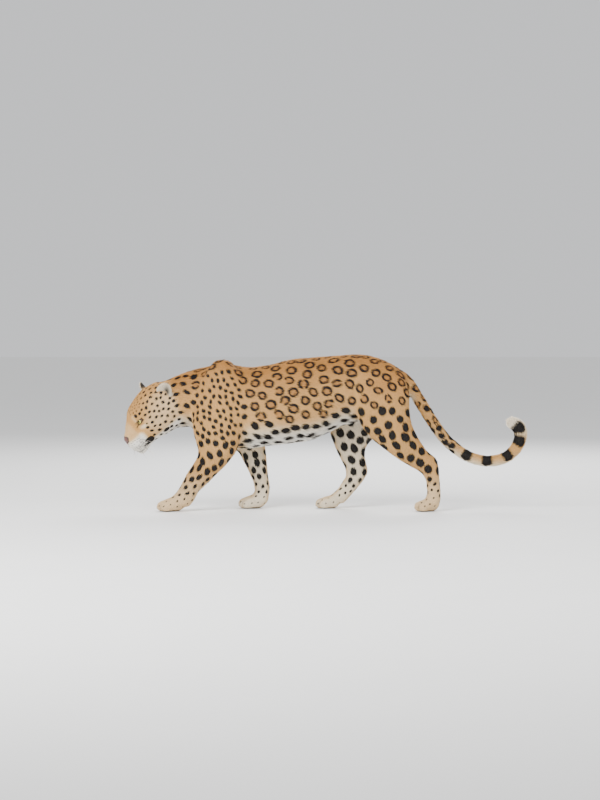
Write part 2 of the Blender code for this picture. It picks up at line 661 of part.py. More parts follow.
def jaw_cutter(frame):
    """A box under the mouth line and ahead of the corners of the mouth."""
    bm = bmesh.new()
    slope = Matrix.Rotation(math.radians(12), 4, "Y")
    box = Matrix.Translation((0.080, 0, -0.153)) @ Matrix.Diagonal((0.100, 0.160, 0.120, 1))
    bmesh.ops.create_cube(bm, size=1, matrix=frame @ Matrix.Translation((0, 0, 0.002)) @ slope @ box)
    return shell("jaw cutter", bm)


def nose_cutter(frame):
    bm = bmesh.new()
    shape = Matrix.Translation((0.124, 0, -0.030)) @ Matrix.Diagonal((0.018, 0.022, 0.017, 1))
    bmesh.ops.create_uvsphere(bm, u_segments=16, v_segments=10, radius=1, matrix=frame @ shape)
    return shell("nose cutter", bm)


def ground():
    bm = bmesh.new()
    box = Matrix.Translation((0, 0, -0.25)) @ Matrix.Diagonal((4, 2, 0.5, 1))
    bmesh.ops.create_cube(bm, size=1, matrix=box)
    return add_object("ground", bm)


def eyeball(name, frame, side, radius, segments):
    bm = bmesh.new()
    turn = Matrix.Rotation(math.pi / 2, 4, "Y")
    place = frame @ Matrix.Translation(mirrored(EYE_PLACE, side)) @ turn
    rings = segments // 2 + 1
    bmesh.ops.create_uvsphere(bm, u_segments=segments, v_segments=rings, radius=radius, matrix=place)
    return add_object(name, bm)


def loose_pieces(obj):
    """The object's separate closed pieces, each as a new object."""
    bm = bmesh.new()
    bm.from_mesh(obj.data)
    bm.verts.ensure_lookup_table()
    seen, pieces = set(), []
    for start in bm.verts:
        if start.index in seen:
            continue
        seen.add(start.index)
        found, edge = [start], [start]
        while edge:
            vertex = edge.pop()
            for link in vertex.link_edges:
                other = link.other_vert(vertex)
                if other.index not in seen:
                    seen.add(other.index)
                    found.append(other)
                    edge.append(other)
        pieces.append(found)
    objects = []
    for found in pieces:
        part = bmesh.new()
        match = {vertex.index: part.verts.new(vertex.co) for vertex in found}
        faces = {face for vertex in found for face in vertex.link_faces}
        for face in sorted(faces, key=lambda face: face.index):
            part.faces.new([match[vertex.index] for vertex in face.verts])
        bmesh.ops.triangulate(part, faces=part.faces)
        if part.calc_volume() > CRUMB:
            objects.append(add_object("piece", part))
        else:
            part.free()
    bm.free()
    bpy.data.objects.remove(obj)
    return objects


def box_of(obj):
    points = [vertex.co for vertex in obj.data.vertices]
    low = Vector([min(p[i] for p in points) for i in range(3)])
    high = Vector([max(p[i] for p in points) for i in range(3)])
    return low, high


def boxes_meet(one, other):
    (low, high), (other_low, other_high) = box_of(one), box_of(other)
    return all(low[i] < other_high[i] and other_low[i] < high[i] for i in range(3))


def cut(pieces, cutter):
    """Cuts every piece that the cutter may reach, and returns the pieces there are then."""
    found = []
    for piece in pieces:
        if boxes_meet(piece, cutter):
            copy = bpy.data.objects.new("copy", cutter.data.copy())
            bpy.context.scene.collection.objects.link(copy)
            found.extend(loose_pieces(boolean(piece, copy, "DIFFERENCE")))
        else:
            found.append(piece)
    bpy.data.objects.remove(cutter)
    return found


def middle_of(obj):
    points = [vertex.co for vertex in obj.data.vertices]
    return sum(points, Vector()) / len(points)


def name_pieces(pieces):
    """Gives each piece the name of the part whose point lies nearest, each name once."""
    pairs = sorted(
        ((middle_of(obj) - Vector(place)).length, i, name)
        for i, obj in enumerate(pieces) for name, place in PARTS.items()
    )
    used, named = set(), {}
    for _, i, name in pairs:
        if i not in used and name not in named:
            used.add(i)
            named[name] = pieces[i]
            pieces[i].name = name
    return named


def stand_on_origin(objects):
    """Shifts everything so that the middle of the bottom of its bounding box is the origin."""
    boxes = [box_of(obj) for obj in objects]
    low = Vector([min(box[0][i] for box in boxes) for i in range(3)])
    high = Vector([max(box[1][i] for box in boxes) for i in range(3)])
    shift = Matrix.Translation(Vector((-(low.x + high.x) / 2, -(low.y + high.y) / 2, -low.z)))
    for obj in objects:
        obj.data.transform(shift)


def main():
    for obj in list(bpy.data.objects):
        bpy.data.objects.remove(obj)
    frame = head_axes()
    form = boolean(body_form(), ground(), "DIFFERENCE")

    # The ears stand on the head a hair's breadth off it.
    ears = {}
    for name, ear in EARS.items():
        obj = add_object(name, ear_sheet(frame, ear))
        thick = obj.modifiers.new("thick", "SOLIDIFY")
        thick.thickness, thick.offset = EAR_THICK, 0
        apply_modifiers(obj)
        swollen = bpy.data.objects.new("swollen", form.data.copy())
        bpy.context.scene.collection.objects.link(swollen)
        grow = swollen.modifiers.new("grow", "DISPLACE")
        grow.strength, grow.mid_level = CUT, 0.0
        apply_modifiers(swollen)
        ears[name] = boolean(obj, swollen, "DIFFERENCE")

    eyes = {
        name: eyeball(name, frame, side, EYE_RADIUS, 14)
        for name, side in (("eye_left", LEFT), ("eye_right", RIGHT))
    }
    cutters = [eyeball("socket", frame, side, EYE_RADIUS + EYE_GAP, 14) for side in (LEFT, RIGHT)]
    for side, outlines in LIMB_OUTLINES.items():
        cutters.extend(limb_cutter(outline, side) for outline in outlines)
    cutters.extend(plate_cutter(plate) for plate in PLATES.values())
    cutters.extend((jaw_cutter(frame), nose_cutter(frame)))
    pieces = [form]
    for cutter in cutters:
        pieces = cut(pieces, cutter)

    parts = {**name_pieces(pieces), **ears, **eyes}
    stand_on_origin(parts.values())
    coat = plain_material("coat", (0.58, 0.34, 0.13), 0.85)
    finishes = {
        "jaw": plain_material("pale_coat", (0.80, 0.72, 0.60), 0.85),
        "nose": plain_material("nose_leather", (0.30, 0.13, 0.10), 0.45),
        "eye_left": plain_material("eye", (0.46, 0.42, 0.16), 0.08),
    }
    finishes["eye_right"] = finishes["eye_left"]
    for name, obj in parts.items():
        obj.data.materials.clear()
        obj.data.materials.append(finishes.get(name, coat))


if __name__ == "__main__":
    main()
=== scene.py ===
"""A life-size museum model of a leopard, walking with its head held low.

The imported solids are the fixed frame. One skin replaces the flesh, and the coat, eyes,
nose, claws and whiskers are built on it. Lengths are in metres.
"""

import json
import logging
import math
from dataclasses import dataclass
from enum import Enum

import bmesh
import bpy
import numpy as np
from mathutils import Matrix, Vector
from mathutils.bvhtree import BVHTree
from mathutils.kdtree import KDTree

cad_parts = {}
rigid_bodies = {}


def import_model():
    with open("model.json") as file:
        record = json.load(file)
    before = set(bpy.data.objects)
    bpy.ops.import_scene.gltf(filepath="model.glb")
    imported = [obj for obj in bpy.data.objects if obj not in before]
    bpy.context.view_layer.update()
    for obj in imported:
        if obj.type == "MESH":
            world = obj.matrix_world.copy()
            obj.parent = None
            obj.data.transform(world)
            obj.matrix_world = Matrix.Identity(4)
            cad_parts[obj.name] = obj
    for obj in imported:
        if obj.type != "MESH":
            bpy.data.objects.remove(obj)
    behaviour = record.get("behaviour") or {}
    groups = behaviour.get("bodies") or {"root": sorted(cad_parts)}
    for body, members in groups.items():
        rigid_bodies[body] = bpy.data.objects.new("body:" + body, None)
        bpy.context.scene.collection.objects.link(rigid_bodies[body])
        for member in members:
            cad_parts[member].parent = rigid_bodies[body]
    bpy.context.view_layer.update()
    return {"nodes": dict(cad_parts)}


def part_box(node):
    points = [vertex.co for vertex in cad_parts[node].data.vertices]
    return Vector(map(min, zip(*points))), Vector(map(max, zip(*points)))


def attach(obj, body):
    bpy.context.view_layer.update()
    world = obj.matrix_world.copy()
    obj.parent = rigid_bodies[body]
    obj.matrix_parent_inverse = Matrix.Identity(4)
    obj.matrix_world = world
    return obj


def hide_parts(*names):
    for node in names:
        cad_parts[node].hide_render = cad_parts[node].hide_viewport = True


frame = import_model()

logging.basicConfig(level=logging.INFO, format="%(message)s")
log = logging.getLogger("leopard")

BODY = "root"
SIDES = (("left", 1.0), ("right", -1.0))


class Region(Enum):
    """The parts of the coat that have their own hair, spots and tufts."""

    TRUNK = 0
    NECK = 1
    HEAD = 2
    EAR = 3
    FORELEG = 4
    HINDLEG = 5
    FOOT = 6
    TAIL = 7


def region_of(node: str) -> Region:
    """Finds the region that a solid belongs to.

    Args:
        node: The solid's name.

    Returns:
        Its region.
    """
    if node.startswith(("head", "jaw", "nose", "eye")):
        return Region.HEAD
    if node.startswith("ear"):
        return Region.EAR
    if node.startswith(("shoulder", "forearm")):
        return Region.FORELEG
    if node.startswith(("thigh", "shank")):
        return Region.HINDLEG
    if node.startswith(("forepaw", "hindfoot")):
        return Region.FOOT
    if node.startswith("tail"):
        return Region.TAIL
    return Region.NECK if node == "neck" else Region.TRUNK


def ramp(values: np.ndarray, start: float, end: float) -> np.ndarray:
    """Rises smoothly from 0 at start to 1 at end.

    Args:
        values: The values to look up.
        start: Where it is 0.
        end: Where it is 1; it may be below start.

    Returns:
        The risen values.
    """
    share = np.clip((values - start) / (end - start), 0.0, 1.0)
    return share * share * (3.0 - 2.0 * share)


def unit(vectors: np.ndarray) -> np.ndarray:
    """Scales each row to length 1."""
    return vectors / np.maximum(np.linalg.norm(vectors, axis=-1, keepdims=True), 1e-9)


def middle(node: str) -> np.ndarray:
    """Gives the middle of a solid's box."""
    low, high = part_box(node)
    return np.array((low + high) / 2)


class HeadFrame:
    """The head's own directions: ahead along the muzzle, across to its left, and up."""

    PITCH = math.radians(42.0)
    EYES_AHEAD = 0.019

    def __init__(self) -> None:
        """Finds the directions from the two eyes."""
        left, right = middle("eye_left"), middle("eye_right")
        self.left = unit((left - right) * (1.0, 1.0, 0.0))
        level = np.array((self.left[1], -self.left[0], 0.0))
        self.level = level
        self.ahead = math.cos(self.PITCH) * level - math.sin(self.PITCH) * np.array((0, 0, 1.0))
        self.up = np.cross(self.ahead, self.left)
        self.axes = np.stack((self.ahead, self.left, self.up))
        self.origin = (left + right) / 2 - self.ahead * self.EYES_AHEAD

    def inward(self, points: np.ndarray) -> np.ndarray:
        """Turns places in the room into (ahead, left, up) from between the eyes."""
        return (np.asarray(points) - self.origin) @ self.axes.T

    def outward(self, places: np.ndarray) -> np.ndarray:
        """Turns (ahead, left, up) into places in the room."""
        return self.origin + np.asarray(places) @ self.axes

    def turned(self, directions: np.ndarray) -> np.ndarray:
        """Turns directions given as (ahead, left, up) into the room's."""
        return np.asarray(directions) @ self.axes


HEAD = HeadFrame()


class Guide:
    """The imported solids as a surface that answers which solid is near, and how deep a point is."""

    GAP = 0.001

    def __init__(self) -> None:
        """Gathers the solids' outer faces, without those that face each other across a cut."""
        self.names = sorted(frame["nodes"])
        points, faces, owners = [], [], []
        for index, name in enumerate(self.names):
            mesh = frame["nodes"][name].data
            base = len(points)
            points.extend(vertex.co.copy() for vertex in mesh.vertices)
            for face in mesh.polygons:
                faces.append([base + corner for corner in face.vertices])
                owners.append(index)
        whole = BVHTree.FromPolygons(points, faces)
        kept, kept_owners = [], []
        for face, owner in zip(faces, owners):
            a, b, c = (points[corner] for corner in face[:3])
            centre, normal = (a + b + c) / 3, (b - a).cross(c - a).normalized()
            facing = any(
                owners[hit[2]] != owner and hit[1].dot(normal) < -0.5
                for hit in whole.find_nearest_range(centre, self.GAP)
            )
            if not facing:
                kept.append(face)
                kept_owners.append(owner)
        self.tree = BVHTree.FromPolygons(points, kept)
        self.owners = np.array(kept_owners)

    def look(self, points: np.ndarray) -> tuple[np.ndarray, np.ndarray]:
        """Finds the nearest solid of each point, and its height over the surface.

        Args:
            points: The points.

        Returns:
            The index of each point's solid, and its height, which is negative inside.
        """
        owner = np.zeros(len(points), int)
        height = np.zeros(len(points))
        for index, point in enumerate(points):
            place, normal, face, distance = self.tree.find_nearest(Vector(point))
            owner[index] = self.owners[face]
            height[index] = math.copysign(distance, (Vector(point) - place).dot(normal))
        return owner, height


class Hide:
    """A closed mesh that is shaped point by point."""

    def __init__(self, mesh: bpy.types.Mesh) -> None:
        """Takes over a mesh.

        Args:
            mesh: The mesh to shape.
        """
        self.mesh = mesh
        self.read()

    def read(self) -> None:
        """Reads the points and edges from the mesh."""
        count = len(self.mesh.vertices)
        self.points = np.zeros(count * 3)
        self.mesh.vertices.foreach_get("co", self.points)
        self.points = self.points.reshape(-1, 3)
        edges = np.zeros(len(self.mesh.edges) * 2, int)
        self.mesh.edges.foreach_get("vertices", edges)
        self.edges = edges.reshape(-1, 2)
        self.degree = np.maximum(np.bincount(edges, minlength=count), 1)

    def write(self) -> None:
        """Writes the points back to the mesh."""
        self.mesh.vertices.foreach_set("co", self.points.ravel())
        self.mesh.update()

    def normals(self) -> np.ndarray:
        """Gives the outward direction at each point."""
        self.write()
        found = np.zeros(len(self.mesh.vertices) * 3)
        self.mesh.vertices.foreach_get("normal", found)
        return found.reshape(-1, 3)

    def mean(self, field: np.ndarray) -> np.ndarray:
        """Averages a field over each point's neighbours.

        Args:
            field: One row for each point.

        Returns:
            The averages.
        """
        one, two = self.edges.T
        count = len(self.points)
        columns = field.reshape(count, -1)
        total = [
            np.bincount(one, column[two], count) + np.bincount(two, column[one], count)
            for column in columns.T
        ]
        return (np.stack(total, 1) / self.degree[:, None]).reshape(field.shape)

    def blur(self, field: np.ndarray, rounds: int) -> np.ndarray:
        """Softens a field over the surface, and returns it."""
        for _ in range(rounds):
            field = field * 0.5 + self.mean(field) * 0.5
        return field

    def relax(self, rounds: int, weight: np.ndarray | float = 1.0, keep: float = 0.0) -> None:
        """Smooths the shape.

        Args:
            rounds: How many times.
            weight: How much each point takes part, from 0 to 1.
            keep: The share of the volume's loss that is pushed back each time.
        """
        weight = np.broadcast_to(np.asarray(weight, float), len(self.points))[:, None]
        for _ in range(rounds):
            step = self.mean(self.points) - self.points
            self.points = self.points + 0.5 * weight * step
            if keep:
                step = self.mean(self.points) - self.points
                self.points = self.points - 0.5 * keep * weight * step

    def centres(self) -> np.ndarray:
        """Gives the middle of each face."""
        found = np.zeros(len(self.mesh.polygons) * 3)
        self.mesh.polygons.foreach_get("center", found)
        return found.reshape(-1, 3)

    def refine(self, chosen: np.ndarray) -> None:
        """Splits each chosen face into four.

        Args:
            chosen: True for each face to split.
        """
        self.write()
        work = bmesh.new()
        work.from_mesh(self.mesh)
        work.faces.ensure_lookup_table()
        edges = {edge for index in np.flatnonzero(chosen) for edge in work.faces[index].edges}
        ordered = sorted(edges, key=lambda edge: edge.index)
        bmesh.ops.subdivide_edges(work, edges=ordered, cuts=1, use_grid_fill=True)
        large = [face for face in work.faces if len(face.verts) > 4]
        bmesh.ops.triangulate(work, faces=large)
        work.to_mesh(self.mesh)
        work.free()
        self.read()


def joined(name: str, nodes: list[str], swell: float) -> bpy.types.Object:
    """Copies solids into one object, each merged and swollen so that the cuts close.

    Args:
        name: The new object's name.
        nodes: The solids' names.
        swell: How far each surface moves out.

    Returns:
        The object, linked into the scene.
    """
    whole = bmesh.new()
    for node in nodes:
        part = bmesh.new()
        part.from_mesh(frame["nodes"][node].data)
        bmesh.ops.remove_doubles(part, verts=part.verts, dist=1e-6)
        part.normal_update()
        moved = [vertex.co + vertex.normal * swell for vertex in part.verts]
        for vertex, place in zip(part.verts, moved):
            vertex.co = place
        copy = bpy.data.meshes.new("copy")
        part.to_mesh(copy)
        part.free()
        whole.from_mesh(copy)
        bpy.data.meshes.remove(copy)
    mesh = bpy.data.meshes.new(name)
    whole.to_mesh(mesh)
    whole.free()
    return placed(name, mesh)


def placed(name: str, mesh: bpy.types.Mesh) -> bpy.types.Object:
    """Links a mesh into the scene as an object at the origin."""
    thing = bpy.data.objects.new(name, mesh)
    bpy.context.scene.collection.objects.link(thing)
    return thing


def baked(thing: bpy.types.Object) -> bpy.types.Mesh:
    """Applies an object's modifiers.

    Args:
        thing: The object; its modifiers are removed.

    Returns:
        Its new mesh.
    """
    graph = bpy.context.evaluated_depsgraph_get()
    mesh = bpy.data.meshes.new_from_object(thing.evaluated_get(graph))
    thing.modifiers.clear()
    thing.data = mesh
    return mesh


def remeshed(thing: bpy.types.Object, voxel: float) -> bpy.types.Mesh:
    """Turns an object's overlapping shells into one even mesh.

    Args:
        thing: The object.
        voxel: The size of a face.

    Returns:
        The mesh, which the object now holds.
    """
    step = thing.modifiers.new("even", "REMESH")
    step.mode = "VOXEL"
    step.voxel_size = voxel
    return baked(thing)


@dataclass(frozen=True)
class Touch:
    """One push of the modeller's thumb on the face, at a place in the head's directions."""

    place: tuple[float, float, float]
    reach: tuple[float, float, float]
    push: float
    paired: bool = True


@dataclass(frozen=True)
class Crease:
    """A groove pressed along a line on the face."""

    line: tuple[tuple[float, float, float], ...]
    width: float
    push: float


def mirrored(place: tuple[float, float, float], side: float) -> np.ndarray:
    """Puts a place given for the left side on either side."""
    return np.array((place[0], place[1] * side, place[2]))


def off_line(places: np.ndarray, normals: np.ndarray, line: np.ndarray) -> np.ndarray:
    """Measures how far points are from a line, across the surface.

    Args:
        places: The points.
        normals: The surface's direction at each.
        line: The line's points.

    Returns:
        The distances; a point far above or below the line counts as far.
    """
    best = np.full(len(places), 1.0)
    for start, end in zip(line[:-1], line[1:]):
        way = end - start
        share = np.clip((places - start) @ way / (way @ way), 0.0, 1.0)
        gap = places - (start + share[:, None] * way)
        deep = (gap * normals).sum(1)
        across = np.sqrt(np.maximum((gap * gap).sum(1) - deep * deep, 0.0))
        best = np.minimum(best, across + np.where(np.abs(deep) > 0.02, 1.0, 0.0))
    return best


@dataclass(frozen=True)
class Opening:
    """The almond between one eye's lids."""

    side: str
    sign: float
    facing: tuple[float, float, float] = (0.80, 0.52, 0.22)
    outer: tuple[float, float, float] = (-0.42, 0.85, 0.30)
    half_width: tuple[float, float] = (0.0150, 0.0138)
    half_height: tuple[float, float] = (0.0062, 0.0074)
    radius: float = 0.0145
    lid: float = 0.0013

    def axes(self) -> tuple[np.ndarray, np.ndarray, np.ndarray, np.ndarray]:
        """Gives the eye's centre and the directions out, towards the outer corner, and up."""
        centre = HEAD.inward(middle(f"eye_{self.side}"))
        out = unit(mirrored(self.facing, self.sign))
        outer = mirrored(self.outer, self.sign)
        outer = unit(outer - out * (outer @ out))
        up = np.cross(out, outer) * self.sign
        return centre, out, outer, up

    def look(self, places: np.ndarray) -> tuple[np.ndarray, np.ndarray, np.ndarray]:
        """Finds where points lie against the almond.

        Args:
            places: The points, in the head's directions.

        Returns:
            How far out each is, as 1 on the almond's edge, its distance from the eye's
            middle, and how much it is in front of the eye.
        """
        centre, out, outer, up = self.axes()
        gap = places - centre
        reach = np.linalg.norm(gap, axis=1)
        way = unit(gap)
        front = way @ out
        x, y = way @ outer * self.radius, way @ up * self.radius
        wide = np.where(x < 0, self.half_width[0], self.half_width[1])
        high = np.where(y < 0, self.half_height[0], self.half_height[1])
        share = np.abs(x) / wide
        high = high * np.where(x < 0, 1 - 0.30 * np.minimum(share, 1), 1 - 0.12 * share)
        spread = np.sqrt(share**2 + (y / high) ** 2)
        return np.where(front > 0.0, spread, 9.0), reach, front


OPENINGS = tuple(Opening(side, sign) for side, sign in SIDES)
FEET = ("forepaw_left", "forepaw_right", "hindfoot_left", "hindfoot_right")
TOES = ((-0.40, 0.26), (-0.15, 0.0), (0.12, 0.0), (0.38, 0.20))
TOE_GAPS = ((-0.32, 0.16), (-0.02, 0.0), (0.26, 0.12))

MOUTH = (
    (0.110, 0.000, -0.093),
    (0.108, 0.008, -0.100),
    (0.105, 0.018, -0.104),
    (0.095, 0.030, -0.104),
    (0.078, 0.040, -0.102),
    (0.058, 0.048, -0.099),
    (0.038, 0.054, -0.096),
    (0.024, 0.058, -0.093),
)

TOUCHES = (
    Touch((0.026, 0.040, 0.024), (0.014, 0.022, 0.009), 0.0044),
    Touch((0.052, 0.040, -0.022), (0.020, 0.012, 0.014), -0.0050),
    Touch((0.046, 0.025, -0.004), (0.012, 0.006, 0.010), -0.0024),
    Touch((0.074, 0.017, 0.013), (0.030, 0.006, 0.010), 0.0024),
    Touch((0.078, 0.000, 0.014), (0.034, 0.008, 0.010), -0.0012, False),
    Touch((-0.022, 0.062, 0.016), (0.020, 0.014, 0.018), -0.0034),
    Touch((-0.002, 0.064, -0.032), (0.024, 0.014, 0.016), 0.0040),
    Touch((0.096, 0.027, -0.062), (0.020, 0.015, 0.020), 0.0052),
    Touch((0.062, 0.046, -0.056), (0.009, 0.014, 0.028), -0.0046),
    Touch((0.030, 0.058, -0.070), (0.016, 0.012, 0.016), -0.0024),
    Touch((-0.010, 0.000, 0.068), (0.045, 0.008, 0.020), -0.0022, False),
    Touch((0.088, 0.000, -0.112), (0.016, 0.020, 0.014), 0.0040, False),
    Touch((0.119, 0.017, -0.026), (0.008, 0.006, 0.007), 0.0022),
)

NOSTRILS = (
    Touch((0.124, 0.0095, -0.034), (0.008, 0.0036, 0.0034), -0.0075),
    Touch((0.120, 0.0150, -0.037), (0.008, 0.0042, 0.0021), -0.0045),
    Touch((0.114, 0.0190, -0.034), (0.007, 0.0035, 0.0018), -0.0026),
)

CREASES = (
    Crease(((0.119, 0.0, -0.034), (0.119, 0.0, -0.055), (0.110, 0.0, -0.093)), 0.0016, -0.0022),
    Crease(MOUTH, 0.0022, -0.0036),
)


@dataclass(frozen=True)
class CoatDepth:
    """How far under the solids' surface the skin lies, by region."""

    trunk: float = 0.0040
    neck: float = 0.0042
    head: float = 0.0030
    face: float = 0.0012
    ear: float = 0.0005
    leg: float = 0.0028
    foot: float = 0.0016
    tail: float = 0.0012

    def of(self, region: Region) -> float:
        """Gives a region's depth."""
        table = {
            Region.TRUNK: self.trunk,
            Region.NECK: self.neck,
            Region.HEAD: self.head,
            Region.EAR: self.ear,
            Region.FORELEG: self.leg,
            Region.HINDLEG: self.leg,
            Region.FOOT: self.foot,
            Region.TAIL: self.tail,
        }
        return table[region]


class Skin:
    """The one skin under the coat, from the solids of flesh."""

    VOXEL = 0.0085
    EAR_VOXEL = 0.0019
    SWELL = 0.0004
    ROOT = 0.012

    def __init__(self) -> None:
        """Reads the solids."""
        self.guide = Guide()
        self.depths = CoatDepth()
        self.regions = [region_of(name) for name in self.guide.names]

    def build(self) -> bpy.types.Object:
        """Makes the skin in one piece.

        Returns:
            The skin's object.
        """
        flesh = [name for name in self.guide.names if not name.startswith("ear")]
        self.thing = joined("skin", flesh, self.SWELL)
        self.hide = Hide(remeshed(self.thing, self.VOXEL))
        self.hide.relax(18, keep=0.9)
        self.hide.refine(self.in_region(Region.FOOT) | (self.ahead_of(-0.14)))
        self.hide.relax(3, keep=0.9)
        self.sink()
        self.add_ears()
        self.hide.refine(self.face_zone())
        self.hide.refine(self.fine_zone() | self.toe_zone())
        self.fill_withers()
        self.part_toes()
        self.sculpt()
        for face in self.thing.data.polygons:
            face.use_smooth = True
        return self.thing

    def in_region(self, region: Region) -> np.ndarray:
        """Marks the faces nearest to one region's solids."""
        owner, _ = self.guide.look(self.hide.centres())
        wanted = np.array([found is region for found in self.regions])
        return wanted[owner]

    def ahead_of(self, start: float) -> np.ndarray:
        """Marks the faces of the head that lie ahead of a place along it."""
        places = HEAD.inward(self.hide.centres())
        near = (places[:, 2] > -0.17) & (np.abs(places[:, 1]) < 0.13)
        return (places[:, 0] > start) & near & (self.hide.centres()[:, 0] < -0.62)

    def face_zone(self) -> np.ndarray:
        """Marks the front of the face."""
        places = HEAD.inward(self.hide.centres())
        return self.ahead_of(-0.012) & (places[:, 2] > -0.135)

    def fine_zone(self) -> np.ndarray:
        """Marks the lids, the nose and the lips."""
        centres = self.hide.centres()
        places = HEAD.inward(centres)
        chosen = (places[:, 0] > 0.098) & (places[:, 2] > -0.060) & (np.abs(places[:, 1]) < 0.028)
        for opening in OPENINGS:
            gap = np.linalg.norm(places - opening.axes()[0], axis=1)
            chosen |= gap < 0.0235
        normals = np.zeros_like(centres)
        line = np.array(MOUTH)
        for sign in (1.0, -1.0):
            away = off_line(places, normals, line * (1.0, sign, 1.0))
            chosen |= (away < 0.011) & (places[:, 0] > 0.02)
        return chosen & self.ahead_of(0.0)

    def toe_zone(self) -> np.ndarray:
        """Marks the front of each foot."""
        centres = self.hide.centres()
        chosen = np.zeros(len(centres), bool)
        for foot in FEET:
            low, high = (np.array(corner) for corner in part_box(foot))
            inside = (centres > low - 0.004) & (centres < high + 0.004)
            chosen |= inside.all(1) & (centres[:, 0] < low[0] + 0.050) & (centres[:, 2] > 0.003)
        return chosen

    def fill_withers(self) -> None:
        """Eases the hollows behind and between the shoulder blades."""
        hide = self.hide
        x, _, z = hide.points.T
        low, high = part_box("shoulder_left")
        share = ramp(z, high[2] - 0.16, high[2] - 0.08) * ramp(x, high[0] + 0.16, high[0] + 0.04)
        share = share * ramp(x, low[0] - 0.02, low[0] + 0.03)
        before, normals = hide.points.copy(), hide.normals()
        hide.relax(60, weight=share)
        rise = np.clip(((hide.points - before) * normals).sum(1), -0.0015, 0.007)
        hide.points = before + normals * rise[:, None]
        hide.relax(4, weight=share)

    def part_toes(self) -> None:
        """Presses the grooves between the toes and rounds each toe."""
        hide = self.hide
        self.grooves = np.full(len(hide.points), 1.0)
        for foot in FEET:
            low, high = (np.array(corner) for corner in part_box(foot))
            width, across = high[1] - low[1], (high[1] + low[1]) / 2
            near = ((hide.points > low - 0.01) & (hide.points < high + 0.01)).all(1)
            normals = hide.normals()
            push = np.zeros(len(near))
            for share, back in TOES:
                centre = np.array((low[0] + 0.016 + back * width, across + share * width, 0.022))
                gap = (hide.points - centre) / np.array((0.020, 0.0095, 0.020))
                push += 0.0042 * np.exp(-(gap * gap).sum(1))
            for share, back in TOE_GAPS:
                side, start = across + share * width, low[0] + back * width
                line = np.array(
                    (
                        (start - 0.002, side, 0.006),
                        (start + 0.006, side, 0.026),
                        (start + 0.022, side, 0.042),
                        (start + 0.046, side - 0.06 * share * width, 0.054),
                    )
                )
                away = off_line(hide.points, normals, line)
                fade = ramp(hide.points[:, 0], start + 0.052, start + 0.026)
                push -= 0.0066 * np.exp(-((away / 0.0036) ** 2)) * fade
                away = np.where(near, away + 0.004 * (1.0 - fade), 1.0)
                self.grooves = np.minimum(self.grooves, away)
            push = push * near * (hide.points[:, 2] > 0.004)
            hide.points = hide.points + normals * push[:, None]
        hide.write()

    def depth_at(self, points: np.ndarray, owner: np.ndarray) -> np.ndarray:
        """Gives how deep the skin lies at each point.

        Args:
            points: The points.
            owner: The index of each point's solid.

        Returns:
            The depths.
        """
        table = np.array([self.depths.of(region) for region in self.regions])
        depth = table[owner]
        ahead = HEAD.inward(points)[:, 0]
        is_head = np.array([region is Region.HEAD for region in self.regions])[owner]
        face = self.depths.head + (self.depths.face - self.depths.head) * ramp(ahead, -0.06, 0.03)
        depth = np.where(is_head, face, depth)
        sole = (points[:, 2] < 0.006)
        return np.where(sole, 0.0004, depth)

    def sink(self) -> None:
        """Moves the skin to the coat's depth under the solids' surface."""
        owner, height = self.guide.look(self.hide.points)
        move = -self.depth_at(self.hide.points, owner) - height
        move = self.hide.blur(np.clip(move, -0.008, 0.004), 10)
        self.hide.points = self.hide.points + self.hide.normals() * move[:, None]
        self.hide.points[:, 2] = np.maximum(self.hide.points[:, 2], 0.0006)
        self.hide.write()

    def add_ears(self) -> None:
        """Joins the ears to the head, with roots that reach into it."""
        for side, sign in SIDES:
            ear = joined(f"ear_{side}_skin", [f"ear_{side}"], self.SWELL)
            shape = Hide(ear.data)
            rise = unit(middle(f"ear_{side}") - HEAD.outward(mirrored((-0.09, 0.045, 0.0), sign)))
            tree = BVHTree.FromPolygons(
                [vertex.co for vertex in self.thing.data.vertices],
                [face.vertices for face in self.thing.data.polygons],
            )
            above = np.zeros(len(shape.points))
            for index, point in enumerate(shape.points):
                place, normal, _, _ = tree.find_nearest(Vector(point))
                above[index] = (Vector(point) - place).dot(normal)
            root = above < self.depths.head + 0.0045
            shape.points[root] -= rise * self.ROOT
            shape.write()
            mesh = remeshed(ear, self.EAR_VOXEL)
            shape = Hide(mesh)
            shape.relax(6, keep=1.0)
            shape.points = shape.points - shape.normals() * self.depths.ear
            shape.write()
            step = self.thing.modifiers.new("ear", "BOOLEAN")
            step.operation = "UNION"
            step.solver = "EXACT"
            step.object = ear
            self.hide = Hide(baked(self.thing))
            bpy.data.objects.remove(ear)
        owner, _ = self.guide.look(self.hide.points)
        is_ear = np.array([region is Region.EAR for region in self.regions])[owner]
        places = HEAD.inward(self.hide.points)
        mixed = self.hide.blur(is_ear.astype(float), 6)
        self.hide.relax(14, weight=4 * mixed * (1 - mixed) * (places[:, 0] < 0.0))
        self.hide.write()

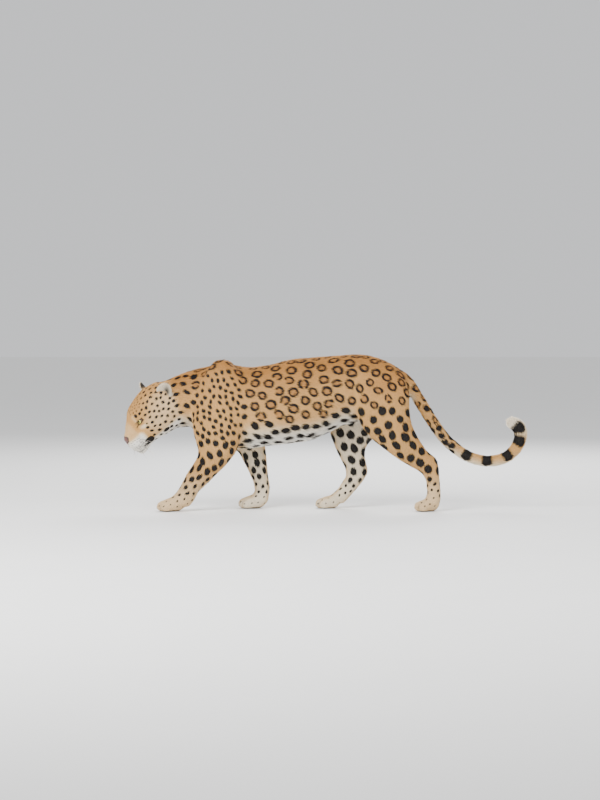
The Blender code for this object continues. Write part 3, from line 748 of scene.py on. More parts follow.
    def sculpt(self) -> None:
        """Shapes the face: lids, brows, nostrils, lips and whisker pads."""
        hide = self.hide
        hide.relax(2, weight=ramp(HEAD.inward(hide.points)[:, 0], -0.02, 0.0))
        for group in (TOUCHES, NOSTRILS):
            places, normals = HEAD.inward(hide.points), hide.normals()
            push = np.zeros(len(places))
            for touch in group:
                for sign in (1.0, -1.0) if touch.paired else (1.0,):
                    gap = (places - mirrored(touch.place, sign)) / np.array(touch.reach)
                    push += touch.push * np.exp(-(gap * gap).sum(1))
            hide.points = hide.points + normals * push[:, None]
            if group is TOUCHES:
                self.part_lids()
        for crease in CREASES:
            places, normals = HEAD.inward(hide.points), hide.normals()
            turned = normals @ HEAD.axes.T
            away = np.full(len(places), 1.0)
            for sign in (1.0, -1.0):
                line = np.array(crease.line) * (1.0, sign, 1.0)
                away = np.minimum(away, off_line(places, turned, line))
            push = crease.push * np.exp(-((away / crease.width) ** 2))
            hide.points = hide.points + normals * push[:, None]
        hide.write()

    def part_lids(self) -> None:
        """Opens the almonds over the eyes and wraps the lids round them."""
        places = HEAD.inward(self.hide.points)
        for opening in OPENINGS:
            centre, _, _, _ = opening.axes()
            spread, reach, front = opening.look(places)
            near = (reach < 0.032) & (front > 0.0)
            lid = opening.radius + opening.lid + 0.0007 * np.clip(spread - 1.0, 0.0, 2.0)
            hug = (1.0 - ramp(spread, 1.35, 2.9)) * ramp(front, 0.05, 0.35)
            outside = np.maximum(reach * (1 - hug) + lid * hug, opening.radius + 0.0008)
            sunk = opening.radius - 0.0018
            wanted = sunk + (outside - sunk) * ramp(spread, 0.90, 1.10)
            moved = centre + (places - centre) * (wanted / np.maximum(reach, 1e-6))[:, None]
            places = np.where(near[:, None], moved, places)
            self.hide.points = HEAD.outward(places)
            free = ramp(spread, 1.12, 1.8) * (1.0 - ramp(reach, 0.034, 0.050))
            self.hide.relax(60, weight=free * (places[:, 0] > -0.05))
            places = HEAD.inward(self.hide.points)


TAIL_LINE = (
    (0.285, 0.568),
    (0.361, 0.519),
    (0.440, 0.393),
    (0.508, 0.298),
    (0.590, 0.233),
    (0.694, 0.206),
    (0.748, 0.216),
    (0.789, 0.242),
    (0.816, 0.281),
    (0.825, 0.321),
    (0.815, 0.353),
    (0.785, 0.372),
)
TAIL_BANDS = ((0.594, 0.232), (0.682, 0.210), (0.767, 0.232), (0.822, 0.289), (0.818, 0.343))


def along_tail(points: np.ndarray) -> tuple[np.ndarray, np.ndarray]:
    """Finds where points lie along the tail.

    Args:
        points: Places in the room, or (x, z) pairs.

    Returns:
        The length from the tail's root to each, and the tail's direction there.
    """
    flat = points[:, [0, -1]]
    line = np.array(TAIL_LINE)
    best = np.full(len(flat), 9.0)
    length = np.zeros(len(flat))
    way = np.zeros((len(flat), 3))
    passed = 0.0
    for start, end in zip(line[:-1], line[1:]):
        step = end - start
        size = np.linalg.norm(step)
        share = np.clip((flat - start) @ step / size**2, 0.0, 1.0)
        away = np.linalg.norm(flat - start - share[:, None] * step, axis=1)
        nearer = away < best
        best = np.where(nearer, away, best)
        length = np.where(nearer, passed + share * size, length)
        way = np.where(nearer[:, None], np.array((step[0], 0.0, step[1])) / size, way)
        passed += size
    return length, way


@dataclass(frozen=True)
class Hair:
    """The hair of one region: a tuft's length, its width, and how steeply it stands."""

    length: float
    width: float
    lift: float


HAIRS = {
    Region.TRUNK: Hair(0.0125, 0.0017, 0.15),
    Region.NECK: Hair(0.0130, 0.0017, 0.17),
    Region.HEAD: Hair(0.0074, 0.0011, 0.14),
    Region.EAR: Hair(0.0050, 0.0009, 0.18),
    Region.FORELEG: Hair(0.0098, 0.0015, 0.14),
    Region.HINDLEG: Hair(0.0105, 0.0016, 0.14),
    Region.FOOT: Hair(0.0050, 0.0010, 0.13),
    Region.TAIL: Hair(0.0125, 0.0017, 0.18),
}
FACE_HAIR = Hair(0.0037, 0.0006, 0.12)
BELLY_HAIR = Hair(0.0200, 0.0019, 0.21)

LIES = {
    "trunk": (1.0, 0.0, -0.16),
    "neck": (0.95, 0.0, 0.02),
    "shoulder": (0.42, 0.0, -0.90),
    "thigh": (0.45, 0.0, -0.90),
    "shank": (0.25, 0.0, -0.97),
    "forepaw": (-0.75, 0.0, -0.65),
    "hindfoot": (-0.60, 0.0, -0.80),
}


class Grooming:
    """Which way the coat lies over the skin, how long it is, and its shade."""

    NOSE_TIP = (0.130, 0.0, -0.030)

    def __init__(self, skin: Skin) -> None:
        """Reads the finished skin.

        Args:
            skin: The skin.
        """
        self.hide = skin.hide
        self.names = skin.guide.names
        self.points = self.hide.points
        self.normals = self.hide.normals()
        self.places = HEAD.inward(self.points)
        self.owner, _ = skin.guide.look(self.points)
        self.grooves = skin.grooves
        self.region = np.array([region.value for region in skin.regions])[self.owner]
        self.tail_length, self.tail_way = along_tail(self.points)

    def where(self, region: Region) -> np.ndarray:
        """Marks the points of a region."""
        return self.region == region.value

    def lie(self) -> np.ndarray:
        """Gives the direction in which the hair lies at each point."""
        table = np.zeros((len(self.names), 3))
        for index, name in enumerate(self.names):
            stem, _, side = name.partition("_")
            way = np.array(LIES.get(stem, (1.0, 0.0, 0.0)))
            if stem == "forearm":
                way = middle(f"forepaw_{side}") - middle(f"shoulder_{side}")
            table[index] = unit(way)
        lie = table[self.owner]
        lie = np.where(self.where(Region.TAIL)[:, None], self.tail_way, lie)
        tip = HEAD.outward(np.array(self.NOSE_TIP))
        lie = np.where(self.where(Region.HEAD)[:, None], unit(self.points - tip), lie)
        for side, sign in SIDES:
            ear = self.owner == self.names.index(f"ear_{side}")
            root = HEAD.outward(mirrored((-0.095, 0.058, 0.005), sign))
            lie = np.where(ear[:, None], unit(self.points - root), lie)
        flank = self.where(Region.TRUNK) & (np.abs(self.normals[:, 2]) < 0.6)
        lie = lie + np.where(flank[:, None], np.array((0.0, 0.0, -0.22)), 0.0)
        lie = self.hide.blur(unit(lie), 64)
        lie = lie - self.normals * (lie * self.normals).sum(1)[:, None]
        return unit(lie)

    def ear_sides(self) -> tuple[np.ndarray, np.ndarray, np.ndarray]:
        """Gives how an ear's points face its opening, and their height and rearward shares."""
        facing, high, rear = (np.zeros(len(self.points)) for _ in range(3))
        opens = {"left": (0.66, 0.66, 0.10), "right": (0.80, -0.50, 0.15)}
        for side, _ in SIDES:
            ear = self.owner == self.names.index(f"ear_{side}")
            facing = np.where(ear, self.normals @ HEAD.turned(unit(np.array(opens[side]))), facing)
            low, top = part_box(f"ear_{side}")
            share = (self.points - np.array(low)) / (np.array(top) - np.array(low))
            high, rear = np.where(ear, share[:, 2], high), np.where(ear, share[:, 0], rear)
        return facing, high, rear

    def hair(self) -> np.ndarray:
        """Gives each point's tuft length, width and lift."""
        table = np.array([(h.length, h.width, h.lift) for h in (HAIRS[r] for r in Region)])
        hair = table[self.region]
        face = ramp(self.places[:, 0], -0.05, 0.045) * self.where(Region.HEAD)
        fine = np.array((FACE_HAIR.length, FACE_HAIR.width, FACE_HAIR.lift))
        hair = hair + (fine - hair) * face[:, None]
        belly = self.under() * self.where(Region.TRUNK)
        long = np.array((BELLY_HAIR.length, BELLY_HAIR.width, BELLY_HAIR.lift))
        hair = hair + (long - hair) * belly[:, None]
        facing, _, _ = self.ear_sides()
        inside = ramp(facing, 0.2, 0.7)
        hair[:, 0] += inside * 0.004
        hair[:, 2] += inside * 0.06
        tip = ramp(self.tail_length, 0.72, 0.80) * self.where(Region.TAIL)
        hair[:, 0] += tip * 0.007
        return self.hide.blur(hair, 5)

    def under(self) -> np.ndarray:
        """Gives how much each point faces the floor."""
        return ramp(self.normals[:, 2], -0.25, -0.80)

    def tone(self) -> np.ndarray:
        """Gives each point's paleness, its black beyond the spots, which also holds painted shade in the
        ear hollows and toe grooves, and its bareness.
        """
        nx, ny, nz = self.normals.T
        x, y, z = self.points.T
        a, s, b = self.places.T
        pale = 0.34 * ramp(nz, 0.80, -0.10)
        trunk = self.where(Region.TRUNK)
        pale = np.maximum(pale, np.where(trunk, ramp(nz, -0.05, -0.75), 0.0))
        pale = np.maximum(pale, np.where(trunk, 0.72 * ramp(z, 0.405, 0.335), 0.0))
        legs = self.where(Region.FORELEG) | self.where(Region.HINDLEG) | self.where(Region.FOOT)
        inner = ramp(-np.sign(y) * ny, 0.05, 0.75)
        pale = np.where(legs, np.maximum(pale, 0.78 * inner), pale)
        pale = np.where(legs, np.maximum(pale, 0.52 * ramp(z, 0.34, 0.06)), pale)
        neck = self.where(Region.NECK)
        pale = np.where(neck, np.maximum(pale, ramp(nz, 0.0, -0.8)), pale)
        tail = self.where(Region.TAIL)
        tail_under = self.normals @ np.array((-0.4, 0.0, -0.9))
        pale = np.where(tail, 0.30 + 0.62 * ramp(tail_under, 0.1, 0.9) * ramp(x, 0.40, 0.56), pale)
        pale = np.where(tail, np.maximum(pale, 0.80 * ramp(self.tail_length, 0.66, 0.80)), pale)
        pale = self.hide.blur(pale, 12)
        head = self.where(Region.HEAD)
        face = 0.20 + 0.30 * ramp(np.abs(s), 0.030, 0.080)
        muzzle = ramp(b, -0.018, -0.050) * ramp(a, 0.030, 0.060)
        chin = ramp(b, -0.070, -0.100)
        bridge = 0.42 * ramp(a, 0.040, 0.070)
        brow = np.exp(-(((a - 0.037) / 0.010) ** 2 + ((np.abs(s) - 0.033) / 0.010) ** 2)) * 0.50
        below = np.exp(-(((a - 0.028) / 0.020) ** 2 + ((b + 0.022) / 0.012) ** 2)) * 0.75
        for part in (muzzle, chin, bridge, brow, below * (np.abs(s) > 0.02)):
            face = np.maximum(face, part)
        pale = np.where(head, face, pale)
        pale = self.hide.blur(pale, 4)
        facing, high, rearward = self.ear_sides()
        ear = self.where(Region.EAR)
        pale = np.where(ear, 0.50 + 0.30 * ramp(facing, 0.1, 0.7), pale)
        dark, bare = np.zeros(len(x)), np.zeros(len(x))
        back = ramp(facing, -0.05, -0.35)
        patch = np.exp(-(((high - 0.52) / 0.14) ** 2)) * ramp(facing, -0.50, -0.85)
        dark = np.where(ear, back * (1.0 - 1.25 * np.clip(patch, 0, 0.8)), dark)
        cup = ramp(facing, 0.10, 0.45)
        # Painted shade in the hollow of each ear's cup, darkest towards its rear.
        ear_hollow_shade = np.exp(-(((high - 0.42) / 0.34) ** 2) - ((rearward - 0.66) / 0.19) ** 2)
        dark = np.where(ear, np.maximum(dark, 0.97 * cup * ear_hollow_shade), dark)
        turned = self.normals @ HEAD.axes.T
        front = a > 0.0
        for opening in OPENINGS:
            spread, reach, _ = opening.look(self.places)
            rim = (1.0 - ramp(spread, 1.22, 1.58)) * (reach < 0.023)
            centre, out, outer, up = opening.axes()
            inner = centre + out * 0.0125 - outer * 0.0120 - up * 0.0018
            tear = np.array((inner, inner + np.array((0.014, -0.0035 * opening.sign, -0.008))))
            streak = 1.0 - ramp(off_line(self.places, turned, tear), 0.0014, 0.0036)
            tail_line = centre + out * 0.0110 + outer * 0.0135 + up * 0.0020
            line = np.array((tail_line, tail_line + outer * 0.012 - out * 0.004 + up * 0.0015))
            streak = np.maximum(streak, 1.0 - ramp(off_line(self.places, turned, line), 0.0012, 0.0032))
            dark = np.maximum(dark, np.maximum(rim, streak * 0.95) * front)
            bare = np.maximum(bare, (spread < 1.22) & (reach < 0.022))
        lips = np.full(len(x), 1.0)
        for sign in (1.0, -1.0):
            lips = np.minimum(lips, off_line(self.places, turned, np.array(MOUTH) * (1.0, sign, 1.0)))
        dark = np.maximum(dark, (1.0 - ramp(lips, 0.0018, 0.0040)) * (a > 0.02))
        bare = np.maximum(bare, (lips < 0.0024) & (a > 0.02))
        bare = np.maximum(bare, NosePad.margin(self.places) > -0.0008)
        toes = self.where(Region.FOOT) & (z > 0.006)
        # Painted shade in the grooves between the toes.
        dark = np.maximum(dark, 0.80 * (1.0 - ramp(self.grooves, 0.0008, 0.0030)) * toes)
        sole = (self.where(Region.FOOT) & (nz < -0.75)) & (z < 0.010)
        dark = np.maximum(dark, 0.8 * sole)
        bare = np.maximum(bare, sole)
        return np.stack((np.clip(pale, 0, 1), np.clip(dark, 0, 1), bare), 1)


class NosePad:
    """The bare leather of the nose, a shell over the skin with the skin's own shape."""

    HALF_WIDTHS = (
        (-0.0530, 0.0),
        (-0.0495, 0.0022),
        (-0.0450, 0.0045),
        (-0.0410, 0.0090),
        (-0.0370, 0.0148),
        (-0.0330, 0.0188),
        (-0.0280, 0.0206),
        (-0.0220, 0.0204),
        (-0.0170, 0.0184),
        (-0.0135, 0.0148),
        (-0.0110, 0.0095),
        (-0.0100, 0.0),
    )
    FRONT = 0.100
    PROUD = 0.0007
    WALL = 0.0022

    @classmethod
    def margin(cls, places: np.ndarray) -> np.ndarray:
        """Measures how far points lie inside the pad's outline."""
        highs, halves = np.array(cls.HALF_WIDTHS).T
        inside = np.interp(places[:, 2], highs, halves) - np.abs(places[:, 1])
        edge = np.minimum(places[:, 2] - highs[0], highs[-1] - places[:, 2])
        return np.where(places[:, 0] > cls.FRONT, np.minimum(inside, edge), -1.0)

    def build(self, hide: Hide) -> bpy.types.Object:
        """Makes the pad from the part of the skin that it covers.

        Args:
            hide: The finished skin.

        Returns:
            The pad's object.
        """
        margin = self.margin(HEAD.inward(hide.points))
        normals = hide.normals()
        rise = np.clip(margin / 0.0014, -1.0, 1.0) * self.PROUD
        work = bmesh.new()
        outer, inner = {}, {}
        covered = [f for f in hide.mesh.polygons if all(margin[v] > -0.0030 for v in f.vertices)]
        for face in covered:
            for index in face.vertices:
                if index not in outer:
                    at = hide.points[index]
                    outer[index] = work.verts.new(at + normals[index] * rise[index])
                    inner[index] = work.verts.new(at - normals[index] * self.WALL)
        sides = {}
        for face in covered:
            corners = list(face.vertices)
            work.faces.new([outer[index] for index in corners])
            work.faces.new([inner[index] for index in reversed(corners)])
            for one, two in zip(corners, corners[1:] + corners[:1]):
                sides[(one, two)] = sides.get((one, two), 0) + 1
        for one, two in sides:
            if (two, one) not in sides:
                work.faces.new((outer[two], outer[one], inner[one], inner[two]))
        mesh = bpy.data.meshes.new("nose_pad")
        work.to_mesh(mesh)
        work.free()
        mesh.polygons.foreach_set("use_smooth", [True] * len(mesh.polygons))
        places = HEAD.inward(Hide(mesh).points)
        put(mesh, "pad", "FLOAT_VECTOR", "POINT", self.shade(places))
        return placed("nose_pad", mesh)

    @classmethod
    def shade(cls, places: np.ndarray) -> np.ndarray:
        """Gives how far points lie in the nostrils, which is painted as shade, and how near they are to the
        pad's edge.
        """
        black = np.zeros(len(places))
        for touch in NOSTRILS:
            for sign in (1.0, -1.0):
                gap = (places - mirrored(touch.place, sign)) / (np.array(touch.reach) * 1.15)
                gap[:, 0] = 0.0
                # Painted shade: black in the nostrils' dents.
                black = np.maximum(black, np.exp(-((gap * gap).sum(1) ** 2)))
        edge = ramp(cls.margin(places), 0.0045, 0.0)
        return np.stack((black, edge, black * 0.0), 1)


@dataclass(frozen=True)
class Spot:
    """One mark of the coat: its half length and half width, its openness, and its cell."""

    length: float
    width: float
    openness: float
    spacing: float


SPOTS = {
    Region.TRUNK: Spot(0.0236, 0.0205, 1.0, 0.0472),
    Region.NECK: Spot(0.0165, 0.0100, 0.0, 0.0370),
    Region.HEAD: Spot(0.0078, 0.0062, 0.0, 0.0205),
    Region.EAR: Spot(0.0010, 0.0010, 0.0, 0.0220),
    Region.FORELEG: Spot(0.0190, 0.0130, 0.0, 0.0352),
    Region.HINDLEG: Spot(0.0210, 0.0165, 0.0, 0.0420),
    Region.FOOT: Spot(0.0038, 0.0030, 0.0, 0.0260),
    Region.TAIL: Spot(0.0170, 0.0130, 0.0, 0.0310),
}
SPINE_SPOT = Spot(0.0205, 0.0120, 1.0, 0.0360)
BELLY_SPOT = Spot(0.0205, 0.0145, 0.0, 0.0420)
SHOULDER_SPOT = Spot(0.0106, 0.0076, 0.0, 0.0245)
RUMP_SPOT = Spot(0.0222, 0.0186, 1.0, 0.0450)
LOW_LEG_SPOT = Spot(0.0094, 0.0074, 0.0, 0.0250)
PASTERN_SPOT = Spot(0.0074, 0.0054, 0.0, 0.0225)
TAIL_RING = Spot(0.0180, 0.0150, 0.55, 0.0325)
BROW_SPOT = Spot(0.0038, 0.0023, 0.0, 0.0120)

FACE_MARKS = (
    ((0.048, 0.053, -0.087), 0.0235, 0.0160, 0.35),
    ((0.066, 0.045, -0.094), 0.0150, 0.0075, 0.35),
    ((-0.030, 0.076, -0.100), 0.0150, 0.0090, 0.3),
    ((0.020, 0.012, 0.058), 0.0040, 0.0022, 1.0),
    ((0.004, 0.016, 0.066), 0.0046, 0.0022, 1.0),
    ((-0.014, 0.013, 0.071), 0.0048, 0.0024, 1.0),
    ((-0.032, 0.016, 0.075), 0.0050, 0.0026, 1.0),
    ((0.030, 0.020, 0.044), 0.0034, 0.0020, 1.0),
    ((0.006, 0.052, -0.024), 0.0048, 0.0036, 0.0),
    ((-0.014, 0.062, -0.012), 0.0075, 0.0052, 0.2),
    ((-0.032, 0.070, -0.024), 0.0080, 0.0056, 0.1),
    ((-0.050, 0.078, -0.036), 0.0080, 0.0056, 0.1),
    ((-0.006, 0.064, -0.046), 0.0066, 0.0050, 0.1),
    ((-0.026, 0.072, -0.058), 0.0074, 0.0052, 0.1),
)


class Markings:
    """The leopard's spots and rosettes, laid over the skin from a fixed seed."""

    SEED = 11
    LOOSE = 0.30
    ROUNDS = 10
    BAND = 0.0225

    def __init__(self, grooming: Grooming) -> None:
        """Takes the groomed skin.

        Args:
            grooming: The coat's regions, lie, hair and tone.
        """
        self.grooming = grooming
        self.hide = grooming.hide
        self.lie = grooming.lie()
        self.hair = grooming.hair()
        self.tone = grooming.tone()

    def plan(self) -> np.ndarray:
        """Gives the spot that each point of the skin would carry.

        Returns:
            A row of half length, half width, openness and spacing for each point.
        """
        rooms = self.grooming
        x, y, z = rooms.points.T
        nz = rooms.normals[:, 2]
        a, s, b = rooms.places.T

        def row(spot: Spot) -> np.ndarray:
            """Lists a spot's numbers."""
            return np.array((spot.length, spot.width, spot.openness, spot.spacing))

        plan = np.array([row(SPOTS[region]) for region in Region])[rooms.region]

        def blend(spot: Spot, share: np.ndarray) -> None:
            """Moves the plan towards a spot."""
            nonlocal plan
            plan = plan + (row(spot) - plan) * share[:, None]

        trunk = rooms.where(Region.TRUNK)
        blend(BELLY_SPOT, trunk * np.maximum(ramp(nz, -0.15, -0.5), ramp(z, 0.40, 0.35)))
        blend(SPINE_SPOT, trunk * ramp(nz, 0.80, 0.94))
        foreleg, hind = rooms.where(Region.FORELEG), rooms.where(Region.HINDLEG)
        blend(SHOULDER_SPOT, foreleg * ramp(z, 0.26, 0.36))
        blend(LOW_LEG_SPOT, (foreleg | hind) * ramp(z, 0.20, 0.08))
        blend(RUMP_SPOT, hind * ramp(z, 0.42, 0.50))
        blend(PASTERN_SPOT, rooms.where(Region.FOOT) * ramp(z, 0.040, 0.075))
        blend(TAIL_RING, rooms.where(Region.TAIL) * ramp(rooms.tail_length, 0.34, 0.26))
        head = rooms.where(Region.HEAD)
        blend(BROW_SPOT, head * ramp(a, -0.06, -0.01) * ramp(b, 0.030, 0.048))
        return self.hide.blur(plan, 8)

    def barred(self) -> np.ndarray:
        """Marks the faces that carry no scattered spots."""
        rooms = self.grooming
        a, s, b = rooms.places.T
        head = rooms.where(Region.HEAD)
        barred = head & (a > 0.030) & (b > -0.075)
        for opening in OPENINGS:
            barred |= np.linalg.norm(rooms.places - opening.axes()[0], axis=1) < 0.0235
        barred |= head & (a > 0.045)
        barred |= rooms.where(Region.EAR) | (self.tone[:, 2] > 0.5)
        barred |= rooms.where(Region.FOOT) & (rooms.points[:, 2] < 0.012)
        barred |= rooms.where(Region.TAIL) & (rooms.tail_length > 0.415)
        return barred

    def scatter(self) -> None:
        """Chooses the spots' places: the face's first, then the rest evenly by chance."""
        chance = np.random.default_rng(self.SEED)
        plan, barred = self.plan(), self.barred()
        points = self.grooming.points
        chosen, rows = [], []
        dots = tuple(
            ((0.106 - 0.0075 * step, 0.024 + 0.0042 * step, -0.048 - 0.0085 * row), 0.0036, 0.0013, 0.0)
            for row in range(4)
            for step in range(5)
        )
        for place, length, width, turn in FACE_MARKS + dots:
            for sign in (1.0, -1.0):
                target = HEAD.outward(mirrored(place, sign))
                nearest = int(np.argmin(((points - target) ** 2).sum(1)))
                chosen.append(nearest)
                rows.append((length, width, 0.0, 2.4 * length, turn))
        near = np.where(barred, 0.0, 9.0)
        for pick, row in zip(chosen, rows):
            near = np.minimum(near, self.crowding(points, plan[:, 3], pick, row[3]))
        order = chance.uniform(0.0, self.LOOSE, len(points))
        while near.max() > 1.0:
            pick = int(np.argmin(np.where(near > 1.0, np.minimum(near, 4.0) + order, 99.0)))
            jitter = chance.uniform(0.86, 1.10, 2)
            length, width, openness, cell = plan[pick]
            openness = float(openness > chance.uniform(0.35, 0.65))
            turn = float(chance.normal(0.0, 0.35))
            chosen.append(pick)
            rows.append((length * jitter[0], width * jitter[1], openness, cell, turn))
            near = np.minimum(near, self.crowding(points, plan[:, 3], pick, cell))
            near[pick] = 0.0
        self.even_out(chosen, 2 * len(FACE_MARKS + dots), np.flatnonzero(~barred), plan[:, 3])
        self.index = np.array(chosen)
        self.rows = np.array(rows)
        self.seeds = chance.random(len(chosen))

    def even_out(self, chosen: list[int], fixed: int, free: np.ndarray, cells: np.ndarray) -> None:
        """Moves spots to the middle of the room that each has.

        Args:
            chosen: The point of each spot, which is changed.
            fixed: How many of the first ones stay.
            free: The points that may carry a spot.
            cells: The room that a spot needs at each point.
        """
        mesh, points = self.hide.mesh, self.grooming.points
        loops, counts = self.corners()
        areas = np.zeros(len(mesh.polygons))
        mesh.polygons.foreach_get("area", areas)
        weights = np.bincount(loops, np.repeat(areas / counts, counts), len(points))[free]
        weights = weights / cells[free] ** 2
        allowed = KDTree(len(free))
        for index in free:
            allowed.insert(points[index], int(index))
        allowed.balance()
        for _ in range(self.ROUNDS):
            spots = KDTree(len(chosen))
            for number, pick in enumerate(chosen):
                spots.insert(points[pick], number)
            spots.balance()
            owner = np.array([spots.find(point)[1] for point in points[free]])
            total = np.maximum(np.bincount(owner, weights, len(chosen)), 1e-12)
            sums = [np.bincount(owner, weights * column, len(chosen)) for column in points[free].T]
            centres = np.stack(sums, 1) / total[:, None]
            for number in range(fixed, len(chosen)):
                if total[number] > 1e-9:
                    chosen[number] = allowed.find(centres[number])[1]

    def corners(self) -> tuple[np.ndarray, np.ndarray]:
        """Gives the point of each face corner, and how many corners each face has."""
        mesh = self.hide.mesh
        loops, counts = np.zeros(len(mesh.loops), int), np.zeros(len(mesh.polygons), int)
        mesh.loops.foreach_get("vertex_index", loops)
        mesh.polygons.foreach_get("loop_total", counts)
        return loops, counts

    @staticmethod
    def crowding(points: np.ndarray, cells: np.ndarray, pick: int, cell: float) -> np.ndarray:
        """Gives each point's distance from a spot as a share of the room that both need."""
        return np.linalg.norm(points - points[pick], axis=1) / (0.5 * (cells + cell))

    def spread(self) -> None:
        """Writes each face corner's place within its spot, and its spot's seed, on the skin."""
        rooms, mesh = self.grooming, self.hide.mesh
        centres = self.hide.centres()
        normals = np.zeros(len(mesh.polygons) * 3)
        mesh.polygons.foreach_get("normal", normals)
        normals = normals.reshape(-1, 3)
        spots, spot_normals = rooms.points[self.index], rooms.normals[self.index]
        owner = np.zeros(len(centres), int)
        for start in range(0, len(centres), 4000):
            part = slice(start, start + 4000)
            gap = np.linalg.norm(centres[part, None] - spots[None], axis=2)
            turned = normals[part] @ spot_normals.T
            gap = gap / self.rows[:, 3] + np.where(turned < 0.0, 3.0, 0.0)
            owner[part] = np.argmin(gap, axis=1)
        loops, counts = self.corners()
        corner = np.repeat(owner, counts)
        lie = self.lie[self.index]
        across = np.cross(spot_normals, lie)
        gap = rooms.points[loops] - spots[corner]
        far = np.linalg.norm(gap, axis=1)
        u, v = (gap * lie[corner]).sum(1), (gap * across[corner]).sum(1)
        stretch = far / np.maximum(np.hypot(u, v), 1e-6)
        stretch = np.clip(stretch, 1.0, 1.6)
        u, v = u * stretch, v * stretch
        seed = self.seeds[corner]
        size = self.hair[self.index[corner]]
        comb = np.stack((u / size[:, 0], v / size[:, 1], seed * 7.0), 1)
        turn = self.rows[corner, 4]
        cosine, sine = np.cos(turn), np.sin(turn)
        u, v = u * cosine + v * sine, v * cosine - u * sine
        mark = np.stack((u / self.rows[corner, 0], v / self.rows[corner, 1], self.rows[corner, 2]), 1)
        tail = np.bincount(
            np.repeat(np.arange(len(counts)), counts), (rooms.region == Region.TAIL.value)[loops]
        )
        length, _ = along_tail(centres)
        bands, _ = along_tail(np.array(TAIL_BANDS))
        nearest = bands[np.abs(length[:, None] - bands).argmin(1)]
        ears = (rooms.region == Region.EAR.value)[loops]
        mark = np.where(ears[:, None], np.array((9.0, 9.0, 0.0)), mark)
        banded = (tail > 0) & (np.abs(length - nearest) < 1.7 * self.BAND)
        offset = rooms.tail_length[loops] - np.repeat(nearest, counts)
        ahead, _, rise = rooms.tail_way.T
        under = rooms.normals[:, 0] * rise - rooms.normals[:, 2] * ahead
        narrowed = 1.05 * ramp(under, 0.2, 0.95)[loops]
        band = np.stack((offset / self.BAND, narrowed, np.zeros(len(loops))), 1)
        mark = np.where(np.repeat(banded, counts)[:, None], band, mark)
        put(mesh, "mark", "FLOAT_VECTOR", "CORNER", mark)
        put(mesh, "comb", "FLOAT_VECTOR", "CORNER", comb)
        put(mesh, "seed", "FLOAT", "FACE", self.seeds[owner])


def put(mesh: bpy.types.Mesh, name: str, kind: str, domain: str, values: np.ndarray) -> None:
    """Stores numbers on a mesh as a named attribute.

    Args:
        mesh: The mesh.
        name: The attribute's name.
        kind: Its data type.
        domain: What it belongs to: points, faces or corners.
        values: Its numbers, one row for each.
    """
    layer = mesh.attributes.new(name, kind, domain)
    field = "value" if kind == "FLOAT" else "vector"
    layer.data.foreach_set(field, np.ascontiguousarray(values, np.float32).ravel())


class Value:
    """A socket that Python's operators work on, each adding its Math node."""

    def __init__(self, tree: "Tree", socket: bpy.types.NodeSocket) -> None:
        """Wraps a socket.

        Args:
            tree: The tree that it belongs to.
            socket: The output socket.
        """
        self.tree = tree
        self.socket = socket

    def math(self, operation: str, *others: "Value | float") -> "Value":
        """Adds a Math node that takes this value first.

        Args:
            operation: The node's operation.
            others: Its other inputs.

        Returns:
            The result.
        """
        parts = dict(enumerate((self, *others)))
        return self.tree.node("ShaderNodeMath", {"operation": operation}, parts)[0]

    def __add__(self, other: "Value | float") -> "Value":
        """Adds."""
        return self.math("ADD", other)

    __radd__ = __add__

    def __sub__(self, other: "Value | float") -> "Value":
        """Takes away."""
        return self.math("SUBTRACT", other)

    def __rsub__(self, other: float) -> "Value":
        """Takes this from a number."""
        return (self * -1.0).math("ADD", other)

    def __mul__(self, other: "Value | float") -> "Value":
        """Multiplies."""
        return self.math("MULTIPLY", other)

    __rmul__ = __mul__

    def __truediv__(self, other: "Value | float") -> "Value":
        """Divides."""
        return self.math("DIVIDE", other)

    def __rtruediv__(self, other: float) -> "Value":
        """Divides a number by this."""
        return self.math("POWER", -1.0) * other

    def smooth(self, start: float, end: float) -> "Value":
        """Rises smoothly from 0 at start to 1 at end."""
        settings = {"interpolation_type": "SMOOTHSTEP"}
        if start < end:
            sockets = {0: self, 1: start, 2: end, 3: 0.0, 4: 1.0}
        else:
            sockets = {0: self, 1: end, 2: start, 3: 1.0, 4: 0.0}
        return self.tree.node("ShaderNodeMapRange", settings, sockets)[0]


class Built:
    """A node that was added, whose outputs are looked up by name or number."""

    def __init__(self, tree: "Tree", made: bpy.types.Node) -> None:
        """Wraps a node."""
        self.tree = tree
        self.made = made

    def __getitem__(self, key: str | int) -> Value:
        """Gives one of its outputs."""
        return Value(self.tree, self.made.outputs[key])


